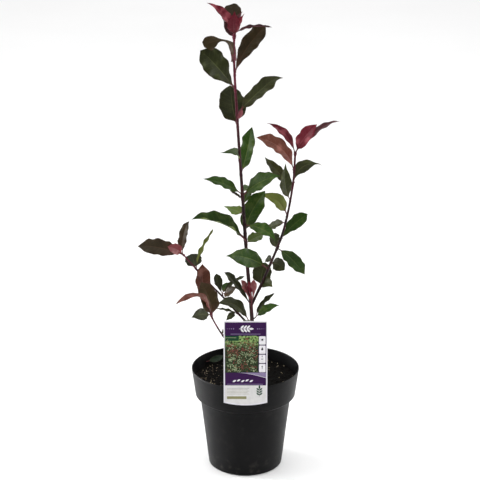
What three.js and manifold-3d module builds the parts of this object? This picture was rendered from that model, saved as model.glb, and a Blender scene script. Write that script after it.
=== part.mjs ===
// A young red-tip photinia shrub in a round nursery pot, with a picture tag on the pot's rim.
// Millimetres, +Z up. The origin is the centre of the pot's flat underside, -Y faces the viewer.
import * as THREE from "three";
import { mergeVertices } from "three/addons/utils/BufferGeometryUtils.js";
import Module from "manifold-3d";

const wasm = await Module();
wasm.setup();

// Clearance between pieces that touch
const GAP = 0.3;

// Pot
const RIM_RADIUS = 111;
const POT_HEIGHT = 214;
const COLLAR_HEIGHT = 57;
const COLLAR_FOOT_RADIUS = 103.5;
const STEP_HEIGHT = 9;
const BODY_TOP_RADIUS = 93.5;
const BODY_FOOT_RADIUS = 76.5;
const FOOT_ROUND = 6;
const WALL = 2;
const FLOOR = 2.5;
const ROUND_SIDES = 44;
const DRAIN_HOLES = 6;
const DRAIN_HOLE_RADIUS = 7;
const DRAIN_HOLE_SIDES = 16;
const DRAIN_CIRCLE_RADIUS = 52;

// Potting mix
const SOIL_TOP = 192;
const SOIL_EDGE_DROP = 2;
const SOIL_LEVEL_SHARE = 0.85;

// Picture tag
const TAG_WIDTH = 88;
const TAG_TOP = 360.5;
const TAG_FOOT = 183;
const TAG_BOW = 6;
const TAG_CORNER = 3;
const TAG_THICKNESS = 0.8;
const TAG_CLIP_WIDTH = 24;
const TAG_CLIP_FOOT = 195;

// Stems: sides and ring spacing of the limbs, reach of the root flare, size of the block that cuts
// the stem's foot, and the foot and tip radii of a short shoot
const LIMB_SIDES = 8;
const TWIG_SIDES = 6;
const LIMB_RING_SPACING = 24;
const LEAST_RINGS = 3;
const FLARE_REACH = 9;
const GROUND_BLOCK = 80;
const SHOOT_RADIUS = [1.5, 1.1];

// Leaves: shares of the leaf's own length, how fast the stalk thins and the fold sets in, the
// least sizes, and the rings of a blade
const STALK_SHARE = 0.12;
const STALK_RADIUS = 1.1;
const STALK_FADE = 3;
const FOLD_ONSET = 4;
const CREST_SHARE = 0.45;
const THICKNESS_SHARE = 0.02;
const LEAST_THICKNESS = 0.9;
const RIPPLE_SHARE = 0.012;
const RIPPLE_TURNS = 1.4;
const HOOK_ONSET = 0.82;
const LEAF_SIDES = 4;
const LEAF_RING_SPACING = 12;
const MOST_LEAF_RINGS = 8;
const SEED = 7;

// Forms of blades: half widths as shares of the greatest, at even steps from foot to tip
const FORMS = {
  oval: [0.08, 0.56, 0.88, 1, 0.98, 0.86, 0.62, 0.24, 0],
  round: [0.08, 0.74, 0.94, 1, 1, 0.95, 0.82, 0.52, 0],
  even: [0.08, 0.62, 0.9, 0.96, 1, 1, 0.92, 0.5, 0],
  spoon: [0.08, 0.3, 0.5, 0.8, 0.97, 1, 0.96, 0.74, 0],
  fan: [0.08, 0.22, 0.34, 0.5, 0.7, 0.88, 1, 0.94, 0.5],
  lance: [0.08, 0.46, 0.82, 1, 0.94, 0.76, 0.5, 0.22, 0],
  teardrop: [0.1, 0.86, 1, 0.9, 0.68, 0.46, 0.28, 0.12, 0],
  tailed: [0.08, 0.3, 0.8, 1, 0.92, 0.6, 0.2, 0.06, 0],
  ribbon: [0.3, 0.5, 0.55, 0.3, 0.14, 0.3, 0.85, 1, 0.4],
  paddle: [0.08, 0.22, 0.34, 0.62, 0.9, 1, 0.98, 0.84, 0.4],
  wedge: [0.08, 0.2, 0.3, 0.46, 0.72, 0.94, 1, 0.66, 0],
  curl: [0.3, 0.9, 1, 0.82, 0.6, 0.62, 0.84, 0.8, 0.1],
};

// Colours and how rough each surface is
const POT_COLOUR = "#1b1b1d";
const TAG_COLOUR = "#e9e7ee";
const SOIL_COLOUR = "#2b2119";
const BARK_COLOUR = "#3a1d1c";
const ROUGHNESS = { pot: 0.45, soil: 0.95, tag: 0.3, bark: 0.6, leaf: 0.45 };
const TINTS = {
  green: "#34491e",
  dark: "#2d311b",
  light: "#5c6c30",
  bronze: "#3b2c22",
  rust: "#6e3c31",
  rose: "#7e4346",
  plum: "#45202a",
  wine: "#701f2f",
};

// Limbs that carry leaves. The path starts at the foot, the radii are those of foot and tip, and
// the limb ends at split, in millimetres along the path, where its leafy top begins as a piece of
// its own. Each leaf is a row: place along the path, heading in degrees (0 right, 90 away from the
// viewer, 180 left, 270 to the viewer), rise above level, length, greatest width, arch and sideways
// sway as shares of the length, roll about the leaf's line, twist from foot to tip, fold of each
// half up from the midrib, tint, form where it isn't oval, and how far the tip is bent to its side
// as a share of the length.
const LIMBS = {
  main_stem: {
    path: [
      [18, 0, 188], [12.5, -1, 335], [4, 3, 433.9], [-5, 9, 567.5], [-16, 7, 735.9],
      [-23, -3, 875.7], [-22, -6, 925.8],
    ],
    radius: [3.9, 1.2],
    flare: 3,
    split: 538,
    top: "leader_top",
    topTint: "bronze",
    leaf: "stem_leaf",
    leaves: [
      [253, 100, -5, 58, 28, 0.08, 0, 0, 0, 15, "green"],
      [296, 51, 4, 60, 26, 0.03, -0.01, 25, 0, 15, "light"],
      [304, 184, 23, 120, 46, 0.05, 0.08, -10, 0, 40, "green"],
      [318, 47, 51, 96, 39, -0.18, -0.12, 25, 0, 12, "green", "even"],
      [334, 323, -11, 78, 30, 0.1, -0.03, 10, 0, 20, "green"],
      [357, 135, 4, 60, 26, 0.03, 0.01, -25, 0, 12, "light", "teardrop"],
      [375, 75, 15, 60, 20, 0.1, 0, 0, 0, 15, "green"],
      [391, 182, 34, 31, 12, 0.03, -0.09, -15, 0, 20, "bronze", "even"],
      [396, 334, 34, 100, 40, 0.05, -0.05, 50, 0, 15, "green"],
      [399, 207, 28, 98, 30, 0.04, 0.05, -40, 0, 18, "green"],
      [403, 65, -8, 64, 28, 0.1, 0, 0, 0, 15, "green"],
      [442, 62, 63, 98, 31, -0.14, -0.05, 0, 0, 12, "green", "even"],
      [473, 227, 24, 62, 26, 0.15, 0.07, -50, 0, 35, "light", "teardrop", 0.04],
      [543, 106, 56, 87, 54, 0.01, -0.05, 0, 0, 8, "dark", "round"],
      [557, 312, 63, 30, 13, -0.15, 0.01, -10, 0, 20, "plum"],
      [569, 25, 37, 118, 33, 0.03, -0.01, 30, 0, 15, "dark", "even", 0.09],
      [620, 199, 49, 112, 53, 0.03, -0.02, -65, 0, 10, "dark", "paddle"],
      [652, 35, 49, 116, 38, -0.06, -0.1, 30, 0, 12, "bronze", "spoon"],
      [679, 213, 28, 80, 28, 0.11, 0.33, -80, 0, 10, "bronze", "ribbon"],
      [726, 131, 44, 44, 19, -0.07, 0.01, -20, 0, 25, "plum"],
      [728, 99, 49, 72, 33, -0.01, 0.07, -5, 0, 12, "bronze", "fan"],
      [729, 190, 53, 88, 22, 0.03, 0.13, -55, 0, 22, "wine", "lance"],
      [730, 58, 59, 52, 20, -0.07, -0.08, 0, 0, 20, "plum"],
      [732, 274, 69, 56, 26, 0.11, -0.02, 170, 0, 22, "wine"],
      [733, 332, 65, 50, 20, 0.08, 0.17, 70, 0, 30, "wine"],
      [735, 18, 5, 78, 10, 0.02, -0.13, 25, 0, 30, "plum", "even"],
    ],
  },
  right_bough: {
    path: [
      [13, 0, 352], [22, 3, 371.6], [42, 12, 414.5], [77, 32, 500.3], [96, 46, 594.4], [101, 55, 663.6],
    ],
    radius: [2.5, 1.1],
    split: 213,
    top: "right_bough_top",
    topTint: "wine",
    leaf: "right_leaf",
    leaves: [
      [34, 322, 22, 38, 25, 0.05, -0.3, 45, 0, 20, "dark"],
      [42, 77, 40, 58, 40, -0.01, -0.03, 10, 0, 15, "dark", "round"],
      [81, 217, 26, 118, 38, -0.03, 0.08, -80, 0, 12, "green"],
      [93, 313, -6, 40, 28, 0.04, -0.14, 55, 0, 15, "dark", "round"],
      [98, 113, -7, 30, 18, 0.04, 0.05, -50, 0, 20, "dark"],
      [126, 92, 22, 52, 22, 0, -0.07, 0, 0, 18, "dark", "even"],
      [128, 323, -31, 80, 27, -0.01, -0.1, 25, 0, 12, "green", "even"],
      [146, 28, 36, 78, 31, -0.06, -0.08, 30, 0, 12, "green", "spoon"],
      [184, 134, -26, 76, 23, -0.02, 0.04, -45, 0, 15, "dark"],
      [197, 137, 16, 92, 33, -0.03, -0.28, 100, 0, 14, "light", "teardrop"],
      [230, 230, 79, 84, 28, 0.03, -0.1, -110, 0, 18, "dark"],
      [257, 148, 39, 87, 26, 0.09, -0.06, -25, 0, 15, "dark"],
      [264, 27, 23, 78, 27, 0.17, -0.2, 40, 0, 12, "dark", "tailed", 0.05],
      [290, 184, 44, 106, 35, 0.08, 0.13, -40, 0, 18, "rust", "even"],
      [326, 151, 40, 88, 19, 0.18, 0.04, -30, 0, 28, "wine", "lance"],
      [328, 326, 54, 84, 30, 0.02, -0.04, 90, 0, 25, "wine", "even"],
      [329, 21, 30, 115, 14, 0.21, 0.06, 30, 0, 32, "plum", "lance"],
    ],
  },
  left_bough: {
    path: [[13, 0, 301], [-2, 5, 315.9], [-46, 22, 360], [-82, 38, 392.5], [-129, 58, 441.2]],
    radius: [2.3, 1.1],
    split: 161,
    top: "left_bough_top",
    topTint: "bronze",
    leaf: "left_leaf",
    leaves: [
      [38, 165, 8, 54, 13, 0.04, 0, 0, 0, 20, "dark", "even"],
      [48, 240, -12, 40, 14, 0, 0, -35, 0, 20, "dark"],
      [169, 101, 24, 44, 36, 0, 0, -10, 0, 15, "dark", "round"],
      [166, 50, 51, 94, 14, 0.07, -0.1, -75, 0, 30, "light", "even", 0.06],
      [206, 169, 8, 98, 40, 0.05, 0.02, -35, 0, 12, "bronze", "even"],
      [208, 73, 59, 71, 22, -0.06, -0.12, -15, 0, 15, "bronze", "even", 0.04],
      [207, 222, 33, 48, 23, -0.04, 0.07, -90, 0, 20, "rose", "round"],
    ],
  },
  low_left_bough: {
    path: [[16, 0, 208], [-12, -14, 243.4], [-36, -27, 278.9], [-66, -48, 338.8], [-71, -53, 357.2]],
    radius: [2.3, 1.1],
    split: 159,
    top: "low_left_bough_top",
    topTint: "bronze",
    leaf: "low_left_leaf",
    leaves: [
      [116, 60, 80, 14, 4, 0, 0, 0, 0, 20, "dark"],
      [167, 154, 71, 77, 40, 0.09, 0.04, -35, 0, 12, "bronze", "round"],
      [173, 105, 55, 108, 34, -0.12, -0.03, 15, 0, 15, "rust", "spoon"],
      [174, 216, 27, 96, 14, 0.2, 0.25, -35, 0, 25, "rust", "curl"],
      [173, 223, 7, 56, 34, 0.05, 0.05, -40, 0, 15, "dark"],
    ],
  },
};

// Short shoots: each stem stands on a limb at the given place and ends within its own leaves
const SHOOTS = {
  short_shoot: {
    limb: "left_bough",
    at: 86,
    tint: "green",
    path: [[0, 0, 0], [-2, 1, 10]],
    leaves: [
      [7, 112, 48, 46, 19, -0.07, -0.03, 0, 0, 18, "dark", "spoon"],
      [9, 58, 22, 36, 18, -0.04, -0.04, 35, 0, 18, "green"],
      [9, 26, 29, 60, 12, 0.07, -0.03, 15, 0, 18, "dark", "even"],
      [8, 326, 32, 40, 22, -0.01, 0.1, 50, 0, 18, "bronze", "round"],
    ],
  },
  centre_shoot: {
    limb: "main_stem",
    at: 128,
    tint: "wine",
    path: [[0, 0, 0], [0, -9, 12], [-1, -12, 50]],
    leaves: [
      [40, 172, 53, 92, 20, -0.07, 0.1, -30, 0, 20, "dark", "spoon"],
      [49, 162, 65, 51, 17, -0.15, 0.1, -30, 0, 18, "rose", "wedge"],
      [50, 44, 77, 49, 17, -0.06, 0.06, 15, 0, 18, "rose", "wedge"],
      [51, 128, 78, 43, 15, 0, 0, -5, 0, 20, "wine", "wedge"],
    ],
  },
  base_shoot_right: {
    limb: "main_stem",
    at: 132,
    tint: "green",
    path: [[0, 0, 0], [5, 1, 2], [9, 2, 5]],
    leaves: [
      [7, 339, 35, 64, 21, 0.03, -0.06, 50, 0, 18, "green"],
      [9, 36, 40, 65, 12, 0.04, -0.1, 15, 0, 18, "dark", "even"],
    ],
  },
  base_shoot_left: {
    limb: "main_stem",
    at: 126,
    tint: "green",
    path: [[0, 0, 0], [-5, -5, 2], [-9, -9, 5]],
    leaves: [
      [8, 198, 36, 84, 30, 0, 0.24, -40, 0, 18, "dark"],
      [10, 250, 20, 34, 14, 0.1, 0, 0, 0, 20, "dark"],
    ],
  },
};

// The same draws on every run
function seeded(seed) {
  let state = seed;
  return () => {
    state = (state * 1664525 + 1013904223) % 4294967296;
    return state / 4294967296;
  };
}

const draw = seeded(SEED);

// A closed geometry as a solid that can be joined and cut
function solidOf(geometry) {
  geometry.deleteAttribute("normal");
  geometry.deleteAttribute("uv");
  const merged = mergeVertices(geometry);
  const corners = merged.index.array;
  const kept = [];
  for (let i = 0; i < corners.length; i += 3) {
    const [a, b, c] = corners.slice(i, i + 3);
    if (a !== b && b !== c && c !== a) {
      kept.push(a, b, c);
    }
  }
  return new wasm.Manifold(new wasm.Mesh({
    numProp: 3,
    vertProperties: merged.attributes.position.array,
    triVerts: new Uint32Array(kept),
  }));
}

function meshOf(name, solid, colour, roughness) {
  const { vertProperties, triVerts } = solid.getMesh();
  const geometry = new THREE.BufferGeometry();
  geometry.setAttribute("position", new THREE.BufferAttribute(new Float32Array(vertProperties), 3));
  geometry.setIndex(new THREE.BufferAttribute(new Uint32Array(triVerts), 1));
  geometry.computeVertexNormals();
  const material = new THREE.MeshStandardMaterial({ color: colour, roughness, metalness: 0 });
  const mesh = new THREE.Mesh(geometry, material);
  mesh.name = name;
  return mesh;
}

// A profile of [radius, height] pairs, from axis to axis, turned about Z
function turned(profile) {
  const points = profile.map(([radius, height]) => new THREE.Vector2(radius, height));
  return solidOf(new THREE.LatheGeometry(points, ROUND_SIDES).rotateX(Math.PI / 2));
}

const STEP_TOP = POT_HEIGHT - COLLAR_HEIGHT;
const STEP_FOOT = STEP_TOP - STEP_HEIGHT;

// Outer side of the pot from its rounded foot to its rim
function potSide(inset) {
  const side = [[BODY_FOOT_RADIUS - inset, FOOT_ROUND], [BODY_TOP_RADIUS - inset, STEP_FOOT]];
  const shoulder = COLLAR_FOOT_RADIUS - BODY_TOP_RADIUS;
  for (const share of [0.3, 0.7, 1]) {
    const radius = BODY_TOP_RADIUS + shoulder * share ** 2 * (3 - 2 * share);
    side.push([radius - inset, STEP_FOOT + STEP_HEIGHT * share]);
  }
  side.push([RIM_RADIUS - inset, POT_HEIGHT]);
  return side;
}

// Radius of the collar's inner face at a height
function collarInside(height) {
  const share = (height - STEP_TOP) / COLLAR_HEIGHT;
  return COLLAR_FOOT_RADIUS + (RIM_RADIUS - COLLAR_FOOT_RADIUS) * share - WALL;
}

function makePot() {
  const foot = [[0, 0]];
  for (const share of [0, 0.5]) {
    const angle = share * Math.PI / 2;
    const radius = BODY_FOOT_RADIUS - FOOT_ROUND * (1 - Math.sin(angle));
    foot.push([radius, FOOT_ROUND * (1 - Math.cos(angle))]);
  }
  const outside = [...foot, ...potSide(0)];
  const inside = potSide(WALL).reverse();
  inside[inside.length - 1][1] = FLOOR + FOOT_ROUND;
  const pan = [[BODY_FOOT_RADIUS - WALL - FOOT_ROUND, FLOOR], [0, FLOOR]];
  let pot = turned([...outside, ...inside, ...pan]);
  for (let i = 0; i < DRAIN_HOLES; i++) {
    const angle = 2 * Math.PI * (i + 0.5) / DRAIN_HOLES;
    const hole = new THREE.CylinderGeometry(
      DRAIN_HOLE_RADIUS, DRAIN_HOLE_RADIUS, 4 * FLOOR, DRAIN_HOLE_SIDES);
    hole.rotateX(Math.PI / 2);
    hole.translate(DRAIN_CIRCLE_RADIUS * Math.cos(angle), DRAIN_CIRCLE_RADIUS * Math.sin(angle), 0);
    pot = pot.subtract(solidOf(hole));
  }
  return pot;
}

// The potting mix fills the pot and lies clear of its wall
function makeSoil() {
  const side = potSide(WALL + GAP).filter(([, height]) => height < SOIL_TOP);
  side[0][1] = FLOOR + FOOT_ROUND;
  const edge = SOIL_TOP - SOIL_EDGE_DROP;
  const edgeRadius = collarInside(edge) - GAP;
  return turned([
    [0, FLOOR + GAP],
    [BODY_FOOT_RADIUS - WALL - GAP - FOOT_ROUND, FLOOR + GAP],
    ...side,
    [edgeRadius, edge],
    [edgeRadius * SOIL_LEVEL_SHARE, SOIL_TOP],
    [0, SOIL_TOP],
  ]);
}

// An upright card that hangs in front of the rim, with a clip that goes over it into the pot
function makeTag() {
  const half = TAG_WIDTH / 2;
  const card = new THREE.Shape();
  card.moveTo(-half, TAG_FOOT);
  card.quadraticCurveTo(0, TAG_FOOT - 2 * TAG_BOW, half, TAG_FOOT);
  card.lineTo(half, TAG_TOP - TAG_CORNER);
  card.quadraticCurveTo(half, TAG_TOP, half - TAG_CORNER, TAG_TOP);
  card.lineTo(TAG_CORNER - half, TAG_TOP);
  card.quadraticCurveTo(-half, TAG_TOP, -half, TAG_TOP - TAG_CORNER);
  const plate = new THREE.ExtrudeGeometry(card, {
    depth: TAG_THICKNESS,
    bevelEnabled: false,
    curveSegments: 8,
  });
  plate.rotateX(Math.PI / 2);
  plate.translate(0, -RIM_RADIUS - GAP, 0);

  // Side view of the clip: [distance in front of the axis, height]
  const flat = Math.sqrt(collarInside(POT_HEIGHT) ** 2 - (TAG_CLIP_WIDTH / 2) ** 2) - GAP;
  const slope = collarInside(POT_HEIGHT) - collarInside(TAG_CLIP_FOOT);
  const outer = RIM_RADIUS + GAP + TAG_THICKNESS / 2;
  const clip = new THREE.Shape([
    [outer, POT_HEIGHT + GAP],
    [outer, POT_HEIGHT + GAP + TAG_THICKNESS],
    [flat - TAG_THICKNESS, POT_HEIGHT + GAP + TAG_THICKNESS],
    [flat - TAG_THICKNESS - slope, TAG_CLIP_FOOT],
    [flat - slope, TAG_CLIP_FOOT],
    [flat, POT_HEIGHT + GAP],
  ].map(([reach, height]) => new THREE.Vector2(-reach, height)));
  const strap = new THREE.ExtrudeGeometry(clip, { depth: TAG_CLIP_WIDTH, bevelEnabled: false });
  const upright = new THREE.Matrix4().makeBasis(
    new THREE.Vector3(0, 1, 0), new THREE.Vector3(0, 0, 1), new THREE.Vector3(1, 0, 0));
  strap.applyMatrix4(upright).translate(-TAG_CLIP_WIDTH / 2, 0, 0);
  return solidOf(plate).add(solidOf(strap));
}

// A stretch of another curve, measured along it
class Stretch extends THREE.Curve {
  constructor(curve, from, to) {
    super();
    this.curve = curve;
    this.from = from;
    this.to = to;
  }

  getPoint(share) {
    return this.curve.getPointAt(this.from + (this.to - this.from) * share);
  }
}

// A round bar with closed ends along a curve, with its radius given by share of the way
function bar(curve, radiusAt, sides, steps) {
  const geometry = new THREE.CylinderGeometry(1, 1, 1, sides, steps);
  const frames = curve.computeFrenetFrames(steps);
  const place = geometry.attributes.position;
  for (let i = 0; i < place.count; i++) {
    const ring = Math.round((place.getY(i) + 0.5) * steps);
    const radius = radiusAt(ring / steps);
    const point = curve.getPointAt(ring / steps);
    point.addScaledVector(frames.binormals[ring], place.getX(i) * radius);
    point.addScaledVector(frames.normals[ring], place.getZ(i) * radius);
    place.setXYZ(i, point.x, point.y, point.z);
  }
  return solidOf(geometry);
}

const radians = THREE.MathUtils.degToRad;
const UP = new THREE.Vector3(0, 0, 1);
const TINT_COLUMN = 10;

function direction(heading, rise) {
  const flat = Math.cos(radians(rise));
  return new THREE.Vector3(
    flat * Math.cos(radians(heading)), flat * Math.sin(radians(heading)), Math.sin(radians(rise)));
}

// Half width of a blade as a share of its greatest, from its foot to its tip
function outline(share, form) {
  const steps = FORMS[form].map((width, step) => new THREE.Vector2(step, width));
  return new THREE.SplineCurve(steps).getPoint(share).y;
}

// One leaf as a single closed blade. Its first ring is the foot of the stalk in the middle of the
// stem and its second is the foot of the blade, which is folded along its midrib and arches over.
function leaf(root, row) {
  const [, heading, rise, length, width, arch, sway, roll, twist, fold] = row;
  const [form = "oval", hook = 0] = row.slice(TINT_COLUMN + 1);
  const chord = direction(heading, rise);
  const crown = UP.clone().addScaledVector(chord, -chord.z).normalize();
  const tip = root.clone().addScaledVector(chord, length);
  const face = crown.clone().applyAxisAngle(chord, radians(roll));
  const edgeward = new THREE.Vector3().crossVectors(chord, face);
  const crest = root.clone().addScaledVector(chord, length * CREST_SHARE);
  crest.addScaledVector(face, 2 * arch * length).addScaledVector(edgeward, 2 * sway * length);
  const axis = new THREE.QuadraticBezierCurve3(root, crest, tip);
  const thick = Math.max(LEAST_THICKNESS, THICKNESS_SHARE * length) / 2;
  const ripple = RIPPLE_SHARE * length;
  const phase = 2 * Math.PI * draw();
  const wanted = Math.round(length / LEAF_RING_SPACING);
  const rings = THREE.MathUtils.clamp(wanted, LEAST_RINGS, MOST_LEAF_RINGS);
  const geometry = new THREE.CylinderGeometry(1, 1, 1, LEAF_SIDES, rings + 1);
  const place = geometry.attributes.position;
  for (let i = 0; i < place.count; i++) {
    const ring = Math.round((place.getY(i) + 0.5) * (rings + 1));
    const share = Math.max(0, ring - 1) / rings;
    const along = ring === 0 ? 0 : STALK_SHARE + (1 - STALK_SHARE) * share;
    const point = axis.getPointAt(along);
    const ahead = axis.getTangentAt(along);
    const facing = face.clone().applyAxisAngle(chord, radians(twist * share));
    const side = new THREE.Vector3().crossVectors(ahead, facing).normalize();
    const over = new THREE.Vector3().crossVectors(side, ahead);
    const stalk = STALK_RADIUS * Math.max(0, 1 - STALK_FADE * share);
    const shape = outline(share, form);
    const across = place.getX(i) * Math.max(width / 2 * shape, stalk, thick);
    const lift = Math.abs(across) * Math.sin(radians(fold)) * Math.min(1, FOLD_ONSET * share);
    const turn = 2 * Math.PI * RIPPLE_TURNS * share + phase;
    const wave = Math.round(place.getX(i)) * ripple * Math.sin(turn) * shape;
    const bent = hook * length * (Math.max(0, share - HOOK_ONSET) / (1 - HOOK_ONSET)) ** 2;
    point.addScaledVector(side, across * Math.cos(radians(fold)) + bent);
    point.addScaledVector(over, lift + wave + place.getZ(i) * Math.max(thick, stalk));
    place.setXYZ(i, point.x, point.y, point.z);
  }
  return solidOf(geometry);
}

function limbCurve(path) {
  return new THREE.CatmullRomCurve3(path.map((point) => new THREE.Vector3(...point)));
}

// The point at a distance along a limb, or its tip
function pointAlong(curve, distance) {
  return curve.getPointAt(Math.min(1, distance / curve.getLength()));
}

// Radius along a limb: an even taper, with a flare at a rooted foot
function taper(limb, length) {
  const [foot, tip] = limb.radius;
  const flare = limb.flare ?? 0;
  return (share) => foot + (tip - foot) * share + flare * Math.exp(-share * length / FLARE_REACH);
}

// Everything at or below the potting mix, which cuts the stem's foot flat
function makeGround() {
  const block = new THREE.BoxGeometry(GROUND_BLOCK, GROUND_BLOCK, GROUND_BLOCK);
  return solidOf(block.translate(0, 0, SOIL_TOP + GAP - GROUND_BLOCK / 2));
}

const shrub = new THREE.Group();

function addPiece(name, solid, colour, roughness) {
  shrub.add(meshOf(name, solid, colour, roughness));
}

addPiece("pot", makePot(), POT_COLOUR, ROUGHNESS.pot);
addPiece("potting_mix", makeSoil(), SOIL_COLOUR, ROUGHNESS.soil);
addPiece("plant_tag", makeTag(), TAG_COLOUR, ROUGHNESS.tag);

// Each limb's line, and its bare stretch with clearance round it, for what stands on it
const curves = {};
const clearances = {};

for (const [name, limb] of Object.entries(LIMBS)) {
  const curve = limbCurve(limb.path);
  const length = curve.getLength();
  const radiusAt = taper(limb, length);
  const split = limb.split / length;
  const steps = Math.round(limb.split / LIMB_RING_SPACING);
  const lower = new Stretch(curve, 0, split);
  curves[name] = curve;
  clearances[name] = bar(lower, (share) => radiusAt(share * split) + GAP, LIMB_SIDES, steps);
  const wood = bar(lower, (share) => radiusAt(share * split), LIMB_SIDES, steps);
  const footing = name === "main_stem" ? makeGround() : clearances.main_stem;
  addPiece(name, wood.subtract(footing), BARK_COLOUR, ROUGHNESS.bark);

  const begin = split + GAP / length;
  const upper = new Stretch(curve, begin, 1);
  const topSteps = Math.max(LEAST_RINGS, Math.round((length - limb.split) / LIMB_RING_SPACING));
  let top = bar(upper, (share) => radiusAt(begin + (1 - begin) * share), TWIG_SIDES, topSteps);
  let count = 0;
  for (const row of limb.leaves) {
    const blade = leaf(pointAlong(curve, row[0]), row);
    if (row[0] > limb.split) {
      top = top.add(blade);
    } else {
      count += 1;
      const tint = TINTS[row[TINT_COLUMN]];
      addPiece(`${limb.leaf}_${count}`, blade.subtract(clearances[name]), tint, ROUGHNESS.leaf);
    }
  }
  addPiece(limb.top, top, TINTS[limb.topTint], ROUGHNESS.leaf);
}

for (const [name, shoot] of Object.entries(SHOOTS)) {
  const foot = pointAlong(curves[shoot.limb], shoot.at);
  const curve = limbCurve(shoot.path.map(([x, y, z]) => [foot.x + x, foot.y + y, foot.z + z]));
  const [thick, thin] = SHOOT_RADIUS;
  let shootSolid = bar(curve, (share) => thick + (thin - thick) * share, TWIG_SIDES, LEAST_RINGS);
  for (const row of shoot.leaves) {
    shootSolid = shootSolid.add(leaf(pointAlong(curve, row[0]), row));
  }
  const cleared = shootSolid.subtract(clearances[shoot.limb]);
  addPiece(name, cleared, TINTS[shoot.tint], ROUGHNESS.leaf);
}

export default shrub;
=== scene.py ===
"""A young red-tip photinia in a round nursery pot with a picture tag, dressed in Blender 4.5."""

import math

import bpy
import numpy as np
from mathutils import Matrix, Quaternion, Vector, noise


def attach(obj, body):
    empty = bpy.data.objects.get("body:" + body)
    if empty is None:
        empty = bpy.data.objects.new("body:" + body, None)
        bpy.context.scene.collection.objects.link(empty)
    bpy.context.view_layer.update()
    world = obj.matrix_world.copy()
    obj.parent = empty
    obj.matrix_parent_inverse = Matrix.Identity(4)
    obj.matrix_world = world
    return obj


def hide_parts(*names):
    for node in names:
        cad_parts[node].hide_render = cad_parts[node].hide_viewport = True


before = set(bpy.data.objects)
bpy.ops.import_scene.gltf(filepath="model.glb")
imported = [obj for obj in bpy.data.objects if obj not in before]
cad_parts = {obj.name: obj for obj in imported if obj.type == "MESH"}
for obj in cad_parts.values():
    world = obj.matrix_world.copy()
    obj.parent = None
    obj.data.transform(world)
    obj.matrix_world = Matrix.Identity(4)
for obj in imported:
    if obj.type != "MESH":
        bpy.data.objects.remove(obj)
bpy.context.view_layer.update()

# Shapes are worked out in millimetres, as in the part's source, and scaled when a mesh is made
MM = 0.001

# Pot, the reach of the flat cap in its floor, and the gap that is left to its neighbours
RIM_RADIUS = 111
POT_HEIGHT = 214
COLLAR_HEIGHT = 57
COLLAR_FOOT_RADIUS = 103.5
STEP_TOP = POT_HEIGHT - COLLAR_HEIGHT
STEP_HEIGHT = 9
BODY_TOP_RADIUS = 93.5
BODY_FOOT_RADIUS = 76.5
FOOT_ROUND = 6
WALL = 2
FLOOR = 2.5
POT_SIDES = 160
DRAIN_HOLES = 6
DRAIN_HOLE_RADIUS = 7
DRAIN_HOLE_SIDES = 32
DRAIN_CIRCLE_RADIUS = 52
CAP_RADIUS = 8
GAP = 0.3

# Potting mix, its crumbs and the beads of feed on it: sizes, dark and pale tints, and slots
SOIL_TOP = 192
SOIL_EDGE_DROP = 2
SOIL_SHOULDER = 12
SOIL_RELIEF = 2.4
SOIL_GAP = 0.4
SOIL_SIDES = 144
SOIL_RINGS = 70
STEM_CLEARANCE = 9
CRUMBS = 1300
CRUMB_SIZE = (1.4, 5.5)
CRUMB_RINGS = 5
CRUMB_SIDES = 6
LARGEST_PALE_CRUMB = 2.8
BEADS = 90
BEAD_SIZE = 2.1
CRUMB_TINTS = {
    "bark_dark": ("#070605", "#110e0b"),
    "bark_brown": ("#0f0c09", "#221b15"),
    "bark_pale": ("#6e6152", "#a39684"),
    "feed_bead": ("#9a8c70", "#c6baa0"),
}
DARK, BROWN, PALE, BEAD = range(4)

# Picture tag, the heights of its printed bands, the tints of its print, and the slots
TAG_WIDTH = 88
TAG_TOP = 360.5
TAG_FOOT = 183
TAG_BOW = 6
TAG_CORNER = 3
TAG_BACK = RIM_RADIUS + GAP
TAG_THICKNESS = 0.6
TAG_BORDER = 2.6
PRINT_EDGE = TAG_WIDTH / 2 - TAG_BORDER
TAG_CLIP_WIDTH = 24
TAG_CLIP_FOOT = 195
PRINT_STEP = 0.05
HEADER_FOOT = 329
PICTURE_FOOT = 249
BAND_FOOT = 221
ICONS_LEFT = 26.5
HEDGE_LEAVES = 1100
PRINT_TINTS = {
    "tag_card": "#e6e4ea",
    "print_purple": "#341046",
    "print_lilac": "#8c7ea2",
    "print_red_leaf": "#86453f",
    "print_green_leaf": "#3a4c2e",
    "print_pale_leaf": "#a9b68c",
    "print_white": "#f1eff3",
    "print_grey": "#dddcdb",
    "print_olive": "#8c8a62",
    "print_ink": "#2c2a33",
    "print_deep_green": "#17422a",
}
CARD, PURPLE, LILAC, LAWN, RED_LEAF, GREEN_LEAF = range(6)
PALE_LEAF, WHITE, GREY, OLIVE, INK, DEEP_GREEN = range(6, 12)

# Leaves, as in the part's source: stalk, fold, crest of the arch, ripple and the seed
STALK_SHARE = 0.12
STALK_RADIUS = 1.0
STALK_FADE = 3
FOLD_ONSET = 4
CREST_SHARE = 0.45
RIPPLE_SHARE = 0.012
RIPPLE_TURNS = 1.4
SEED = 7

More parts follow.
